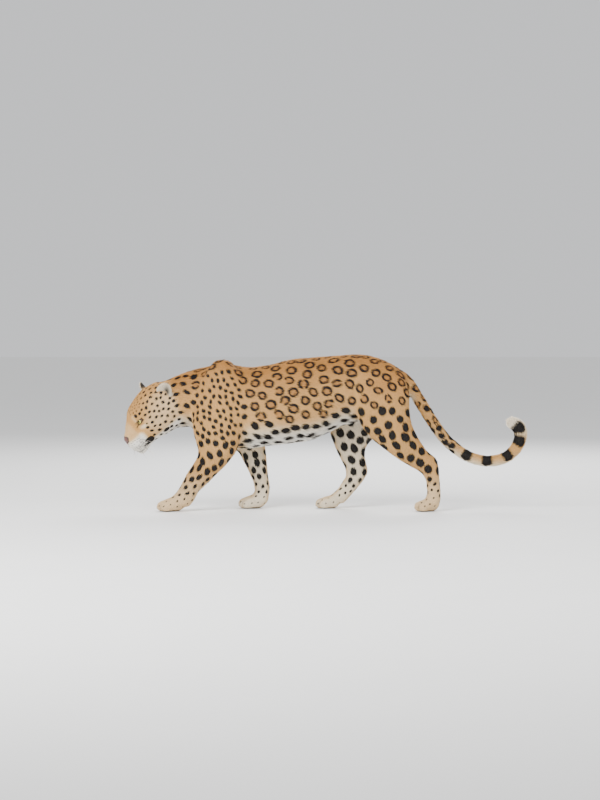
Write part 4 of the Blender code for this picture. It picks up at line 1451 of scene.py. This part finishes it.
class Tree:
    """A node tree that is built from Python."""

    def __init__(self, tree: bpy.types.NodeTree) -> None:
        """Takes over a tree."""
        self.tree = tree

    def node(self, kind: str, settings: dict | None = None, sockets: dict | None = None) -> Built:
        """Adds a node.

        Args:
            kind: The node's type.
            settings: Its settings, which are made first; a ramp's are under "stops".
            sockets: The values or links of its inputs, by name or number.

        Returns:
            The node.
        """
        made = self.tree.nodes.new(kind)
        for name, setting in (settings or {}).items():
            if name == "stops":
                elements = made.color_ramp.elements
                for place, colour in setting[1:-1]:
                    elements.new(place).color = (*colour, 1.0)
                elements[0].position, elements[-1].position = setting[0][0], setting[-1][0]
                elements[0].color = (*setting[0][1], 1.0)
                elements[-1].color = (*setting[-1][1], 1.0)
            else:
                setattr(made, name, setting)
        for key, value in (sockets or {}).items():
            if isinstance(value, Value):
                self.tree.links.new(value.socket, made.inputs[key])
            else:
                made.inputs[key].default_value = value
        return Built(self, made)

    def named(self, name: str) -> Built:
        """Reads a named attribute of the surface in a material."""
        return self.node("ShaderNodeAttribute", {"attribute_name": name})

    def split(self, vector: Value) -> tuple[Value, Value, Value]:
        """Takes a vector apart."""
        parts = self.node("ShaderNodeSeparateXYZ", {}, {0: vector})
        return parts[0], parts[1], parts[2]

    def join(self, x: Value | float, y: Value | float, z: Value | float) -> Value:
        """Puts a vector together."""
        return self.node("ShaderNodeCombineXYZ", {}, {0: x, 1: y, 2: z})[0]

    def noise(self, where: Value, scale: float, detail: float = 2.0) -> Value:
        """Adds a noise, from 0 to 1."""
        sockets = {"Vector": where, "Scale": scale, "Detail": detail, "Roughness": 0.55}
        return self.node("ShaderNodeTexNoise", {}, sockets)["Fac"]

    def mix(self, share: Value | float, first: Value | tuple, second: Value | tuple) -> Value:
        """Mixes two colours."""
        first = first if isinstance(first, Value) else (*first, 1.0)
        second = second if isinstance(second, Value) else (*second, 1.0)
        settings = {"data_type": "RGBA"}
        return self.node("ShaderNodeMix", settings, {0: share, 6: first, 7: second})[2]

    def brighten(self, colour: Value | tuple, share: Value) -> Value:
        """Multiplies a colour by a value."""
        settings = {"operation": "SCALE"}
        return self.node("ShaderNodeVectorMath", settings, {0: colour, 3: share})[0]


def linear(*colour: int) -> tuple[float, float, float]:
    """Turns a colour given in 0 to 255 as seen on a screen into the renderer's own."""
    shares = (channel / 255 for channel in colour)
    return tuple(c / 12.92 if c < 0.04045 else ((c + 0.055) / 1.055) ** 2.4 for c in shares)


def surface(name: str, roughness: float, settings: dict) -> tuple[bpy.types.Material, Tree, Built]:
    """Starts a material with its one shader.

    Args:
        name: The material's name.
        roughness: How rough it is.
        settings: The shader's other constants, by socket name.

    Returns:
        The material, its tree, and the shader's node.
    """
    material = bpy.data.materials.new(name)
    material.use_nodes = True
    material.node_tree.nodes.clear()
    tree = Tree(material.node_tree)
    shader = tree.node("ShaderNodeBsdfPrincipled", {}, {"Roughness": roughness, **settings})
    tree.node("ShaderNodeOutputMaterial", {}, {"Surface": shader["BSDF"]})
    return material, tree, shader


def feed(tree: Tree, shader: Built, sockets: dict) -> None:
    """Links values that vary over the surface to the shader."""
    for name, value in sockets.items():
        tree.tree.links.new(value.socket, shader.made.inputs[name])


@dataclass(frozen=True)
class CoatFinish:
    """The coat's colours, from the back to the belly, and the spots'."""

    name: str = "leopard_coat"
    back: tuple = linear(190, 133, 66)
    flank: tuple = linear(216, 168, 102)
    cream: tuple = linear(236, 214, 176)
    white: tuple = linear(248, 243, 232)
    centre: tuple = linear(176, 117, 54)
    spot: tuple = linear(24, 17, 13)
    roughness: float = 0.62

    def material(self) -> bpy.types.Material:
        """Makes the finish that the skin and the tufts share."""
        settings = {"Sheen Weight": 0.06, "Sheen Roughness": 0.5, "Specular IOR Level": 0.18}
        material, tree, shader = surface(self.name, self.roughness, settings)
        root = tree.named("root")["Vector"]
        u, v, openness = tree.split(tree.named("mark")["Vector"])
        pale, black, _ = tree.split(tree.named("tone")["Vector"])
        seed = tree.named("seed")["Fac"]
        strand = tree.named("strand")["Fac"]
        chance = tree.named("chance")["Fac"]
        broad = tree.noise(root, 36.0, 2.0) - 0.5
        fine = tree.noise(root, 170.0, 2.0) - 0.5
        radius = (u * u + v * v).math("SQRT") + broad * 0.42 + fine * 0.22
        lobes = (v.math("ARCTAN2", u) * ((seed * 2.99).math("FLOOR") + 1.0) + seed * 50.0).math("SINE")
        disc = radius.smooth(1.07, 0.95)
        hole = (radius + lobes * 0.06).smooth(0.53, 0.45) * openness
        torn = (seed * 37.0).math("FRACT").math("GREATER_THAN", 0.75)
        gap = (lobes + fine * 0.5).smooth(-0.84, -0.97) * openness * torn
        spot = disc * (1.0 - hole) * (1.0 - gap)
        stops = ((0.0, self.back), (0.34, self.flank), (0.66, self.cream), (1.0, self.white))
        drift = tree.noise(root, 7.0, 3.0) - 0.5
        shade = pale + drift * 0.12 + fine * 0.06
        base = tree.node("ShaderNodeValToRGB", {"stops": stops}, {0: shade})["Color"]
        inside = radius.smooth(0.78, 0.55) * openness * 0.62
        base = tree.mix(inside, base, self.centre)
        # Painted shade: each tuft is darker at its root and lighter at its tip, and the bare skin under the
        # tufts is darker still; the chance and drift terms add random tint.
        root_shade_and_tint = 0.84 + strand * 0.26 + (chance - 0.5) * 0.22 + drift * 0.16
        base = tree.brighten(base, root_shade_and_tint)
        # The spots' black is also darker at the tufts' roots, as painted shade.
        ink = tree.brighten(self.spot, 0.50 + strand * 0.55)
        dark = spot.math("MAXIMUM", black)
        along, across, place = tree.split(tree.named("comb")["Vector"])
        hairs = tree.noise(tree.join(along * 0.7, across * 2.2, place), 1.0, 2.0)
        clumps = tree.noise(tree.join(along * 0.5, across * 0.5, place), 1.0, 1.0)
        height = hairs + clumps * 0.8
        base = tree.brighten(base, 0.90 + hairs * 0.20)
        bump = tree.node("ShaderNodeBump", {}, {"Strength": 0.55, "Distance": 0.0012, "Height": height})
        feed(tree, shader, {"Base Color": tree.mix(dark, base, ink), "Normal": bump["Normal"]})
        return material


@dataclass(frozen=True)
class NoseFinish:
    """The nose's bare, pebbled leather."""

    name: str = "nose_leather"
    rose: tuple = linear(106, 62, 51)
    brown: tuple = linear(68, 42, 35)
    dark: tuple = linear(22, 14, 13)
    roughness: float = 0.42

    def material(self) -> bpy.types.Material:
        """Makes the finish."""
        material, tree, shader = surface(self.name, self.roughness, {"Coat Weight": 0.18})
        where = tree.node("ShaderNodeTexCoord")["Object"]
        cells = tree.node("ShaderNodeTexVoronoi", {}, {"Vector": where, "Scale": 620.0})["Distance"]
        blotch = tree.noise(where, 90.0, 3.0)
        nostril_shade, edge, _ = tree.split(tree.named("pad")["Vector"])
        colour = tree.mix((blotch + edge * 0.35).smooth(0.35, 0.80), self.rose, self.brown)
        # The nostrils are painted dark as shade in their dents; the leather also darkens towards the pad's
        # edge.
        colour = tree.mix((edge * 0.55).math("MAXIMUM", nostril_shade), colour, self.dark)
        bump = tree.node("ShaderNodeBump", {}, {"Strength": 0.3, "Distance": 0.0006, "Height": cells})
        feed(tree, shader, {"Base Color": colour, "Normal": bump["Normal"]})
        return material


@dataclass(frozen=True)
class EyeFinish:
    """A big cat's eye: a round pupil in a pale gold and green iris, under a wet gloss."""

    name: str = "eye"
    pupil: tuple = linear(8, 7, 6)
    inner: tuple = linear(150, 120, 50)
    iris: tuple = linear(190, 178, 92)
    rim: tuple = linear(66, 48, 20)
    white: tuple = linear(92, 70, 56)

    def material(self) -> bpy.types.Material:
        """Makes the finish."""
        settings = {"Coat Weight": 0.14, "Coat Roughness": 0.03, "Specular IOR Level": 0.10}
        material, tree, shader = surface(self.name, 0.22, settings)
        x, y, _ = tree.split(tree.named("iris")["Vector"])
        radius = (x * x + y * y).math("SQRT")
        angle = y.math("ARCTAN2", x)
        ray = tree.noise(tree.join(angle.math("COSINE") * 9.0, angle.math("SINE") * 9.0, radius), 1.4)
        bent = radius + (ray - 0.5) * 0.16
        stops = (
            (0.0, self.inner),
            (0.42, self.inner),
            (0.60, self.iris),
            (0.84, self.iris),
            (1.0, self.rim),
        )
        iris = tree.node("ShaderNodeValToRGB", {"stops": stops}, {0: bent})["Color"]
        iris = tree.brighten(iris, 0.72 + ray * 0.56)
        colour = tree.mix(radius.smooth(0.44, 0.38), iris, self.pupil)
        colour = tree.mix(radius.smooth(0.94, 1.06), colour, self.rim)
        colour = tree.mix(radius.smooth(1.06, 1.22), colour, self.white)
        feed(tree, shader, {"Base Color": colour})
        return material


@dataclass(frozen=True)
class HornFinish:
    """The claws' horn, pale at the root and dark at the point."""

    name: str = "claw_horn"
    root: tuple = linear(150, 134, 112)
    point: tuple = linear(54, 44, 36)

    def material(self) -> bpy.types.Material:
        """Makes the finish."""
        material, tree, shader = surface(self.name, 0.34, {})
        strand = tree.named("strand")["Fac"]
        where = tree.node("ShaderNodeTexCoord")["Object"]
        grain = tree.noise(where, 700.0, 2.0)
        colour = tree.mix((strand + (grain - 0.5) * 0.4).smooth(0.1, 0.9), self.root, self.point)
        bump = tree.node("ShaderNodeBump", {}, {"Strength": 0.2, "Distance": 0.0003, "Height": grain})
        feed(tree, shader, {"Base Color": colour, "Normal": bump["Normal"]})
        return material


@dataclass(frozen=True)
class WhiskerFinish:
    """The whiskers' stiff pale hair."""

    name: str = "whisker"
    root: tuple = linear(60, 52, 46)
    tip: tuple = linear(226, 220, 208)

    def material(self) -> bpy.types.Material:
        """Makes the finish."""
        material, tree, shader = surface(self.name, 0.40, {})
        colour = tree.mix(tree.named("strand")["Fac"].smooth(0.12, 0.80), self.root, self.tip)
        feed(tree, shader, {"Base Color": colour})
        return material


class Eye:
    """One eyeball, turned about its own line of sight."""

    RADIUS = 0.0144
    BULGE = 0.0009
    IRIS = 0.0100
    ROUND = 56
    RINGS = 30

    def __init__(self, opening: Opening) -> None:
        """Takes the lids that it looks through."""
        self.opening = opening

    def gaze(self) -> np.ndarray:
        """Gives the direction in which it looks."""
        facing = HEAD.turned(self.opening.axes()[1])
        return unit(facing * 0.80 + HEAD.level * 0.34 + np.array((0.0, 0.0, 0.06)))

    def build(self) -> bpy.types.Object:
        """Turns the ball.

        Returns:
            The eye's object.
        """
        name = f"eye_{self.opening.side}"
        centre, gaze = middle(name), self.gaze()
        across = unit(np.cross(gaze, (0.0, 0.0, 1.0)))
        rise = np.cross(across, gaze)
        points, marks, faces = [], [], []
        for ring in range(self.RINGS + 1):
            angle = math.pi * (ring / self.RINGS) ** 1.25
            bulge = self.BULGE * float(ramp(np.array(angle), 0.85, 0.25))
            radius = self.RADIUS + bulge
            for step in range(1 if ring in (0, self.RINGS) else self.ROUND):
                turn = 2 * math.pi * step / self.ROUND
                x, y = math.sin(angle) * math.cos(turn), math.sin(angle) * math.sin(turn)
                points.append(centre + radius * (gaze * math.cos(angle) + across * x + rise * y))
                reach = angle * self.RADIUS / self.IRIS
                marks.append((reach * math.cos(turn), reach * math.sin(turn), math.cos(angle)))
        last = len(points) - 1
        for step in range(self.ROUND):
            after = (step + 1) % self.ROUND
            faces.append((0, 1 + step, 1 + after))
            base = 1 + (self.RINGS - 2) * self.ROUND
            faces.append((last, base + after, base + step))
            for ring in range(self.RINGS - 2):
                low = 1 + ring * self.ROUND
                high = low + self.ROUND
                faces.append((low + step, high + step, high + after, low + after))
        mesh = bpy.data.meshes.new(name)
        mesh.from_pydata(points, [], faces)
        outward(mesh)
        mesh.polygons.foreach_set("use_smooth", [True] * len(mesh.polygons))
        put(mesh, "iris", "FLOAT_VECTOR", "POINT", np.array(marks))
        return placed(f"eyeball_{self.opening.side}", mesh)


def outward(mesh: bpy.types.Mesh) -> None:
    """Turns a closed mesh's faces outwards."""
    work = bmesh.new()
    work.from_mesh(mesh)
    bmesh.ops.recalc_face_normals(work, faces=work.faces)
    work.to_mesh(mesh)
    work.free()


def tapered(points: np.ndarray, radii: np.ndarray, sides: int) -> tuple[list, list, list]:
    """Makes a closed, tapering stem along a line.

    Args:
        points: The line.
        radii: Its radius at each point.
        sides: How many sides it has.

    Returns:
        Its points, faces, and each point's share of the way along.
    """
    ways = unit(np.gradient(points, axis=0))
    side = unit(np.cross(ways, np.array((0.31, 0.17, 0.93))))
    third = np.cross(ways, side)
    places, shares, faces = [], [], []
    for index in range(len(points)):
        for step in range(sides):
            turn = 2 * math.pi * step / sides
            round_it = side[index] * math.cos(turn) + third[index] * math.sin(turn)
            places.append(points[index] + radii[index] * round_it)
            shares.append(index / (len(points) - 1))
    for index in range(len(points) - 1):
        for step in range(sides):
            one, two = index * sides + step, index * sides + (step + 1) % sides
            faces.append((one, two, two + sides, one + sides))
    faces.append(tuple(reversed(range(sides))))
    faces.append(tuple(range(len(places) - sides, len(places))))
    return places, faces, shares


def stems(name: str, lines: list[tuple[np.ndarray, np.ndarray]], sides: int) -> bpy.types.Object:
    """Joins tapering stems into one object with a strand attribute.

    Args:
        name: The object's name.
        lines: Each stem's points and radii.
        sides: How many sides a stem has.

    Returns:
        The object.
    """
    points, faces, shares = [], [], []
    for line, radii in lines:
        places, rings, share = tapered(line, radii, sides)
        faces.extend(tuple(corner + len(points) for corner in ring) for ring in rings)
        points.extend(places)
        shares.extend(share)
    mesh = bpy.data.meshes.new(name)
    mesh.from_pydata(points, [], faces)
    outward(mesh)
    mesh.polygons.foreach_set("use_smooth", [True] * len(mesh.polygons))
    put(mesh, "strand", "FLOAT", "POINT", np.array(shares))
    return placed(name, mesh)


class Whiskers:
    """The whiskers of the muzzle and the few over each eye."""

    SEED = 5
    ROOTS = (
        (0.070, 0.042, -0.060),
        (0.076, 0.041, -0.069),
        (0.084, 0.038, -0.060),
        (0.088, 0.037, -0.072),
        (0.095, 0.033, -0.064),
        (0.080, 0.039, -0.080),
        (0.098, 0.031, -0.078),
        (0.068, 0.043, -0.078),
    )
    LEVEL = (-0.026, 0.060, -0.036)
    LOW = (0.016, 0.036, -0.060)
    BROW_ROOTS = ((0.024, 0.036, 0.030), (0.018, 0.044, 0.028))

    def build(self, hide: Hide) -> bpy.types.Object:
        """Grows the whiskers from the skin.

        Args:
            hide: The finished skin.

        Returns:
            Their object.
        """
        chance = np.random.default_rng(self.SEED)
        places = HEAD.inward(hide.points)
        lines = []
        for sign in (1.0, -1.0):
            for index, place in enumerate(self.ROOTS):
                root = places[((places - mirrored(place, sign)) ** 2).sum(1).argmin()]
                share = index / (len(self.ROOTS) - 1)
                way = np.array(self.LEVEL) * (1 - share) + np.array(self.LOW) * share
                way = mirrored(way, sign) + chance.normal(0.0, 0.004, 3)
                size = chance.uniform(0.066, 0.090)
                lines.append(self.line(root, unit(way), size, 0.00080))
            for place in self.BROW_ROOTS:
                root = places[((places - mirrored(place, sign)) ** 2).sum(1).argmin()]
                way = mirrored((0.35, 0.55, 0.65), sign) + chance.normal(0.0, 0.08, 3)
                lines.append(self.line(root, unit(way), 0.038, 0.00034))
        return stems("whiskers", lines, 6)

    def line(self, root: np.ndarray, way: np.ndarray, size: float, thick: float) -> tuple:
        """Curves one whisker from its root.

        Args:
            root: Its root, in the head's directions.
            way: Its direction.
            size: Its length.
            thick: Its radius at the root.

        Returns:
            Its points in the room and its radii.
        """
        share = np.linspace(-0.03, 1.0, 13)[:, None]
        line = HEAD.outward(root + way * share * size)
        line[:, 2] -= (np.maximum(share[:, 0], 0.0) ** 2) * size * 0.22
        radii = thick * (1.0 - 0.86 * np.linspace(0.0, 1.0, 13) ** 1.3)
        return line, radii


class Claws:
    """The tips of the drawn-in claws, over each toe."""

    LENGTH = 0.0090
    THICK = 0.0019

    def build(self, hide: Hide) -> bpy.types.Object:
        """Sets the claws into the toes.

        Args:
            hide: The finished skin.

        Returns:
            Their object.
        """
        tree = BVHTree.FromPolygons(
            [Vector(point) for point in hide.points],
            [tuple(face.vertices) for face in hide.mesh.polygons],
        )
        lines = []
        for foot in FEET:
            low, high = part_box(foot)
            width, middle_y = high[1] - low[1], (high[1] + low[1]) / 2
            for across, _ in TOES:
                start = Vector((low[0] - 0.03, middle_y + across * width, 0.0155))
                hit, _, _, _ = tree.ray_cast(start, Vector((1.0, 0.0, 0.0)))
                if hit is None:
                    continue
                share = np.linspace(0.0, 1.0, 8)
                bend = 1.25 * share
                step = np.stack((-np.sin(bend), np.zeros(8), 0.75 * (np.cos(bend) - 1.0)), 1)
                line = np.array(hit) + np.array((0.0062, 0.0, 0.0)) + step * self.LENGTH
                radii = self.THICK * (1.0 - 0.93 * share**1.4)
                lines.append((line, radii))
        return stems("claws", lines, 8)


@dataclass(frozen=True)
class Patch:
    """One piece of the coat: where it grows, and how close its tufts stand."""

    name: str
    regions: tuple[Region, ...]
    spacing: float
    side: int = 0
    face: bool = False


LEGS = (Region.FORELEG, Region.HINDLEG)
PATCHES = (
    Patch("coat_trunk_left", (Region.TRUNK,), 0.0031, 1),
    Patch("coat_trunk_right", (Region.TRUNK,), 0.0031, -1),
    Patch("coat_foreleg_left", (Region.FORELEG,), 0.0028, 1),
    Patch("coat_foreleg_right", (Region.FORELEG,), 0.0028, -1),
    Patch("coat_hindleg_left", (Region.HINDLEG,), 0.0029, 1),
    Patch("coat_hindleg_right", (Region.HINDLEG,), 0.0029, -1),
    Patch("coat_neck", (Region.NECK,), 0.0026),
    Patch("coat_head", (Region.HEAD,), 0.0021),
    Patch("coat_face", (Region.HEAD,), 0.0015, 0, True),
    Patch("coat_ears", (Region.EAR,), 0.0015),
    Patch("coat_feet", (Region.FOOT,), 0.0022),
    Patch("coat_tail", (Region.TAIL,), 0.0026),
)


class Coat:
    """The tufts of fur over the skin, grown by geometry nodes from named inputs."""

    SEED = 3
    FACE_START = -0.02

    def __init__(self, skin: bpy.types.Object, grooming: Grooming, tone: np.ndarray) -> None:
        """Marks each face of the skin with the piece of coat that grows on it.

        Args:
            skin: The finished skin.
            grooming: The coat's regions.
            tone: Each point's paleness, black and bareness.
        """
        self.skin = skin
        mesh = skin.data
        loops = np.zeros(len(mesh.loops), int)
        mesh.loops.foreach_get("vertex_index", loops)
        starts = np.zeros(len(mesh.polygons), int)
        mesh.polygons.foreach_get("loop_start", starts)
        first = loops[starts]
        region = grooming.region[first]
        left = grooming.points[first, 1] < 0.0
        ahead = grooming.places[first, 0] > self.FACE_START
        bare = np.maximum.reduceat(tone[loops, 2], starts) > 0.5
        patch = np.full(len(starts), -1.0)
        for index, item in enumerate(PATCHES):
            chosen = np.isin(region, [part.value for part in item.regions])
            if item.side:
                chosen &= left == (item.side > 0)
            if Region.HEAD in item.regions:
                chosen &= ahead == item.face
            patch = np.where(chosen & ~bare, float(index), patch)
        put(mesh, "patch", "FLOAT", "FACE", patch)

    def tuft(self) -> bpy.types.Object:
        """Makes one tuft, a thin closed lock of length and width 1."""
        points = [
            (-0.06, -0.26, -0.12),
            (-0.06, 0.26, -0.12),
            (-0.06, 0.0, 0.06),
            (0.48, -0.5, 0.12),
            (0.48, 0.5, 0.12),
            (0.48, 0.0, 0.52),
            (1.0, 0.0, 0.04),
        ]
        faces = [(0, 1, 4, 3), (1, 2, 5, 4), (2, 0, 3, 5), (3, 4, 6), (4, 5, 6), (5, 3, 6), (0, 2, 1)]
        mesh = bpy.data.meshes.new("tuft")
        mesh.from_pydata(points, [], faces)
        outward(mesh)
        mesh.polygons.foreach_set("use_smooth", [True] * len(mesh.polygons))
        put(mesh, "strand", "FLOAT", "POINT", np.array([max(p[0], 0.0) for p in points]))
        patch = [(0.5 + p[0] * 0.9 + p[2] * 0.3, p[1], 0.0) for p in points]
        put(mesh, "own", "FLOAT_VECTOR", "POINT", np.array(patch))
        return placed("tuft", mesh)

    def tree(self) -> bpy.types.NodeTree:
        """Builds the tree that grows one piece of coat.

        Returns:
            The tree, whose inputs are the piece's number, the tufts' spacing and seed, the
            tuft and the finish.
        """
        group = bpy.data.node_groups.new("coat_tufts", "GeometryNodeTree")
        face = group.interface
        face.new_socket("Skin", in_out="INPUT", socket_type="NodeSocketGeometry")
        face.new_socket("Piece", in_out="INPUT", socket_type="NodeSocketFloat")
        face.new_socket("Spacing", in_out="INPUT", socket_type="NodeSocketFloat")
        face.new_socket("Seed", in_out="INPUT", socket_type="NodeSocketInt")
        face.new_socket("Tuft", in_out="INPUT", socket_type="NodeSocketObject")
        face.new_socket("Finish", in_out="INPUT", socket_type="NodeSocketMaterial")
        face.new_socket("Coat", in_out="OUTPUT", socket_type="NodeSocketGeometry")
        tree = Tree(group)
        given = tree.node("NodeGroupInput")

        def read(name: str, kind: str) -> Value:
            """Reads an attribute of the skin."""
            return tree.node("GeometryNodeInputNamedAttribute", {"data_type": kind}, {0: name})[0]

        def random(low: float, high: float, seed: int) -> Value:
            """Gives each tuft its own number."""
            sockets = {"Min_001": low, "Max_001": high, "Seed": seed}
            made = tree.node("FunctionNodeRandomValue", {"data_type": "FLOAT"})
            for key, value in sockets.items():
                socket = next(s for s in made.made.inputs if key in (s.identifier, s.name))
                socket.default_value = value
            return Value(tree, next(s for s in made.made.outputs if s.identifier == "Value_001"))

        def vector(operation: str, *parts: Value | tuple) -> Value:
            """Adds a Vector Math node."""
            return tree.node("ShaderNodeVectorMath", {"operation": operation}, dict(enumerate(parts)))[0]

        wanted = read("patch", "FLOAT").math("COMPARE", given["Piece"], 0.5)
        spacing = given["Spacing"]
        spread = tree.node(
            "GeometryNodeDistributePointsOnFaces",
            {"distribute_method": "POISSON"},
            {
                "Mesh": given["Skin"],
                "Selection": wanted,
                "Distance Min": spacing,
                "Density Max": 3.2 / (spacing * spacing),
                "Seed": given["Seed"],
            },
        )
        length, width, lift = tree.split(read("hair", "FLOAT_VECTOR"))
        normal = spread["Normal"]
        stray = tree.join(random(-0.15, 0.15, 1), random(-0.15, 0.15, 2), random(-0.15, 0.15, 3))
        rise = tree.node("ShaderNodeVectorMath", {"operation": "SCALE"},
                         {0: normal, 3: lift + random(-0.05, 0.09, 4)})[0]
        way = vector("ADD", vector("ADD", read("lie", "FLOAT_VECTOR"), stray), rise)
        turn = tree.node("FunctionNodeAxesToRotation", {"primary_axis": "X", "secondary_axis": "Z"},
                         {0: way, 1: normal})[0]
        size = random(0.75, 1.2, 5)
        wide = width * random(0.8, 1.2, 6)
        grown = tree.node(
            "GeometryNodeInstanceOnPoints",
            {},
            {
                "Points": spread["Points"],
                "Instance": tree.node("GeometryNodeObjectInfo", {}, {0: given["Tuft"]})["Geometry"],
                "Rotation": turn,
                "Scale": tree.join(length * size, wide, wide),
            },
        )[0]
        grown = self.keep(tree, grown, "chance", "FLOAT", "INSTANCE", random(0.0, 1.0, 7))
        real = tree.node("GeometryNodeRealizeInstances", {}, {0: grown})[0]
        own = tree.node("ShaderNodeVectorMath", {"operation": "SCALE"},
                        {0: read("own", "FLOAT_VECTOR"), 3: 0.0028})[0]
        place = vector("ADD", read("OFBake", "FLOAT_VECTOR"), own)
        real = self.keep(tree, real, "OFBake", "FLOAT2", "CORNER", place)
        for name in ("lie", "hair", "patch", "comb", "own"):
            real = tree.node("GeometryNodeRemoveAttribute", {}, {0: real, "Name": name})[0]
        made = tree.node("GeometryNodeSetMaterial", {}, {0: real, "Material": given["Finish"]})[0]
        tree.node("NodeGroupOutput", {}, {0: made})
        return group

    @staticmethod
    def keep(tree: Tree, made: Value, name: str, kind: str, domain: str, value: Value) -> Value:
        """Stores a value as a named attribute.

        Args:
            tree: The tree.
            made: The geometry.
            name: The attribute's name.
            kind: Its data type.
            domain: What it belongs to.
            value: The value.

        Returns:
            The geometry with it.
        """
        settings = {"data_type": kind, "domain": domain}
        sockets = {"Geometry": made, "Name": name, "Value": value}
        return tree.node("GeometryNodeStoreNamedAttribute", settings, sockets)[0]

    def build(self, finish: bpy.types.Material) -> list[bpy.types.Object]:
        """Grows every piece of the coat.

        Args:
            finish: The coat's material.

        Returns:
            The pieces.
        """
        group, tuft = self.tree(), self.tuft()
        keys = {item.name: item.identifier for item in group.interface.items_tree if item.in_out == "INPUT"}
        pieces = []
        for index, item in enumerate(PATCHES):
            piece = placed(item.name, self.skin.data)
            grow = piece.modifiers.new("grow", "NODES")
            grow.node_group = group
            grow[keys["Piece"]] = float(index)
            grow[keys["Spacing"]] = item.spacing
            grow[keys["Seed"]] = self.SEED + index
            grow[keys["Tuft"]] = tuft
            grow[keys["Finish"]] = finish
            mesh = baked(piece)
            mesh.name = item.name
            pieces.append(piece)
        bpy.data.objects.remove(tuft)
        return pieces


class Studio:
    """The pale floor, the soft lights and the camera."""

    AIM = (-0.1093, 0.0, 0.4675)
    DISTANCE = 9.0
    HEIGHT = 2.4
    LENS = 95.3
    LAMPS = (
        ("key", (-2.4, -3.4, 3.2), 2.8, 410.0),
        ("fill", (3.0, -3.0, 1.8), 2.6, 70.0),
        ("rim", (0.6, 3.2, 2.8), 2.4, 160.0),
    )

    def floor(self) -> bpy.types.Object:
        """Lays the floor."""
        mesh = bpy.data.meshes.new("floor")
        mesh.from_pydata([(-30, -30, 0), (30, -30, 0), (30, 30, 0), (-30, 30, 0)], [], [(0, 1, 2, 3)])
        material, tree, shader = surface("studio_floor", 0.9, {})
        where = tree.node("ShaderNodeTexCoord")["Object"]
        colour = tree.mix(tree.noise(where, 3.0, 4.0), (0.88, 0.88, 0.865), (0.92, 0.915, 0.90))
        feed(tree, shader, {"Base Color": colour})
        mesh.materials.append(material)
        floor = placed("floor", mesh)
        return floor

    def lights(self) -> None:
        """Hangs the soft lights and sets the pale room's light."""
        for name, place, size, power in self.LAMPS:
            lamp = bpy.data.lights.new(name, "AREA")
            lamp.size = size
            lamp.energy = power
            thing = bpy.data.objects.new(name, lamp)
            bpy.context.scene.collection.objects.link(thing)
            thing.location = place
            aim = Vector((0.0, 0.0, 0.35)) - Vector(place)
            thing.rotation_euler = aim.to_track_quat("-Z", "Y").to_euler()
        world = bpy.data.worlds.new("studio")
        world.use_nodes = True
        world.node_tree.nodes["Background"].inputs["Color"].default_value = (0.93, 0.94, 0.96, 1.0)
        world.node_tree.nodes["Background"].inputs["Strength"].default_value = 0.88
        bpy.context.scene.world = world

    def camera(self) -> None:
        """Sets the camera, level with the animal's side."""
        camera = bpy.data.objects.new("camera", bpy.data.cameras.new("camera"))
        bpy.context.scene.collection.objects.link(camera)
        camera.data.lens = self.LENS
        tilt = math.radians(self.HEIGHT)
        back = Vector((0.0, -math.cos(tilt), math.sin(tilt)))
        camera.location = Vector(self.AIM) + back * self.DISTANCE
        camera.rotation_euler = (math.radians(90.0) - tilt, 0.0, 0.0)
        bpy.context.scene.camera = camera


def unwrap(thing: bpy.types.Object) -> None:
    """Gives the skin its map, an unwrap of its own shape, named OFBake."""
    thing.data.uv_layers.new(name="OFBake")
    bpy.context.view_layer.objects.active = thing
    thing.select_set(True)
    bpy.ops.object.mode_set(mode="EDIT")
    bpy.ops.mesh.select_all(action="SELECT")
    bpy.ops.uv.smart_project(angle_limit=math.radians(66.0), island_margin=0.001)
    bpy.ops.object.mode_set(mode="OBJECT")
    thing.select_set(False)


def clear_stage() -> None:
    """Removes what a new file starts with."""
    for thing in list(bpy.data.objects):
        if thing.name in ("Cube", "Camera", "Light"):
            bpy.data.objects.remove(thing)


def add(piece: bpy.types.Object, finish: bpy.types.Material | None, slot: str, *nodes: str) -> None:
    """Gives a piece its finish, its body and the solids it replaces, and reports it.

    Args:
        piece: The piece.
        finish: Its material, or None where it already has one.
        slot: The record's slot, or an empty name; not used.
        nodes: The solids that it stands in for.
    """
    if finish is not None:
        piece.data.materials.clear()
        piece.data.materials.append(finish)
    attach(piece, BODY)
    if nodes:
        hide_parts(*nodes)
    count = sum(len(face.vertices) - 2 for face in piece.data.polygons)
    log.info("%s: %d triangles", piece.name, count)


def main() -> None:
    """Builds the leopard and the studio, and reports each piece."""
    clear_stage()
    skin = Skin()
    thing = skin.build()
    grooming = Grooming(skin)
    marks = Markings(grooming)
    marks.scatter()
    marks.spread()
    for name, values in (
        ("root", grooming.points),
        ("tone", marks.tone),
        ("lie", marks.lie),
        ("hair", marks.hair),
    ):
        put(thing.data, name, "FLOAT_VECTOR", "POINT", values)
    unwrap(thing)
    finish = CoatFinish().material()
    flesh = [name for name in frame["nodes"] if not name.startswith(("eye", "nose"))]
    add(thing, finish, "coat", *flesh)
    for piece in Coat(thing, grooming, marks.tone).build(finish):
        add(piece, None, "coat")
    add(NosePad().build(skin.hide), NoseFinish().material(), "nose_leather", "nose")
    eye_finish = EyeFinish().material()
    for opening in OPENINGS:
        add(Eye(opening).build(), eye_finish, "eye", f"eye_{opening.side}")
    add(Whiskers().build(skin.hide), WhiskerFinish().material(), "")
    add(Claws().build(skin.hide), HornFinish().material(), "")
    studio = Studio()
    studio.floor()
    studio.lights()
    studio.camera()


if __name__ == "__main__":
    main()
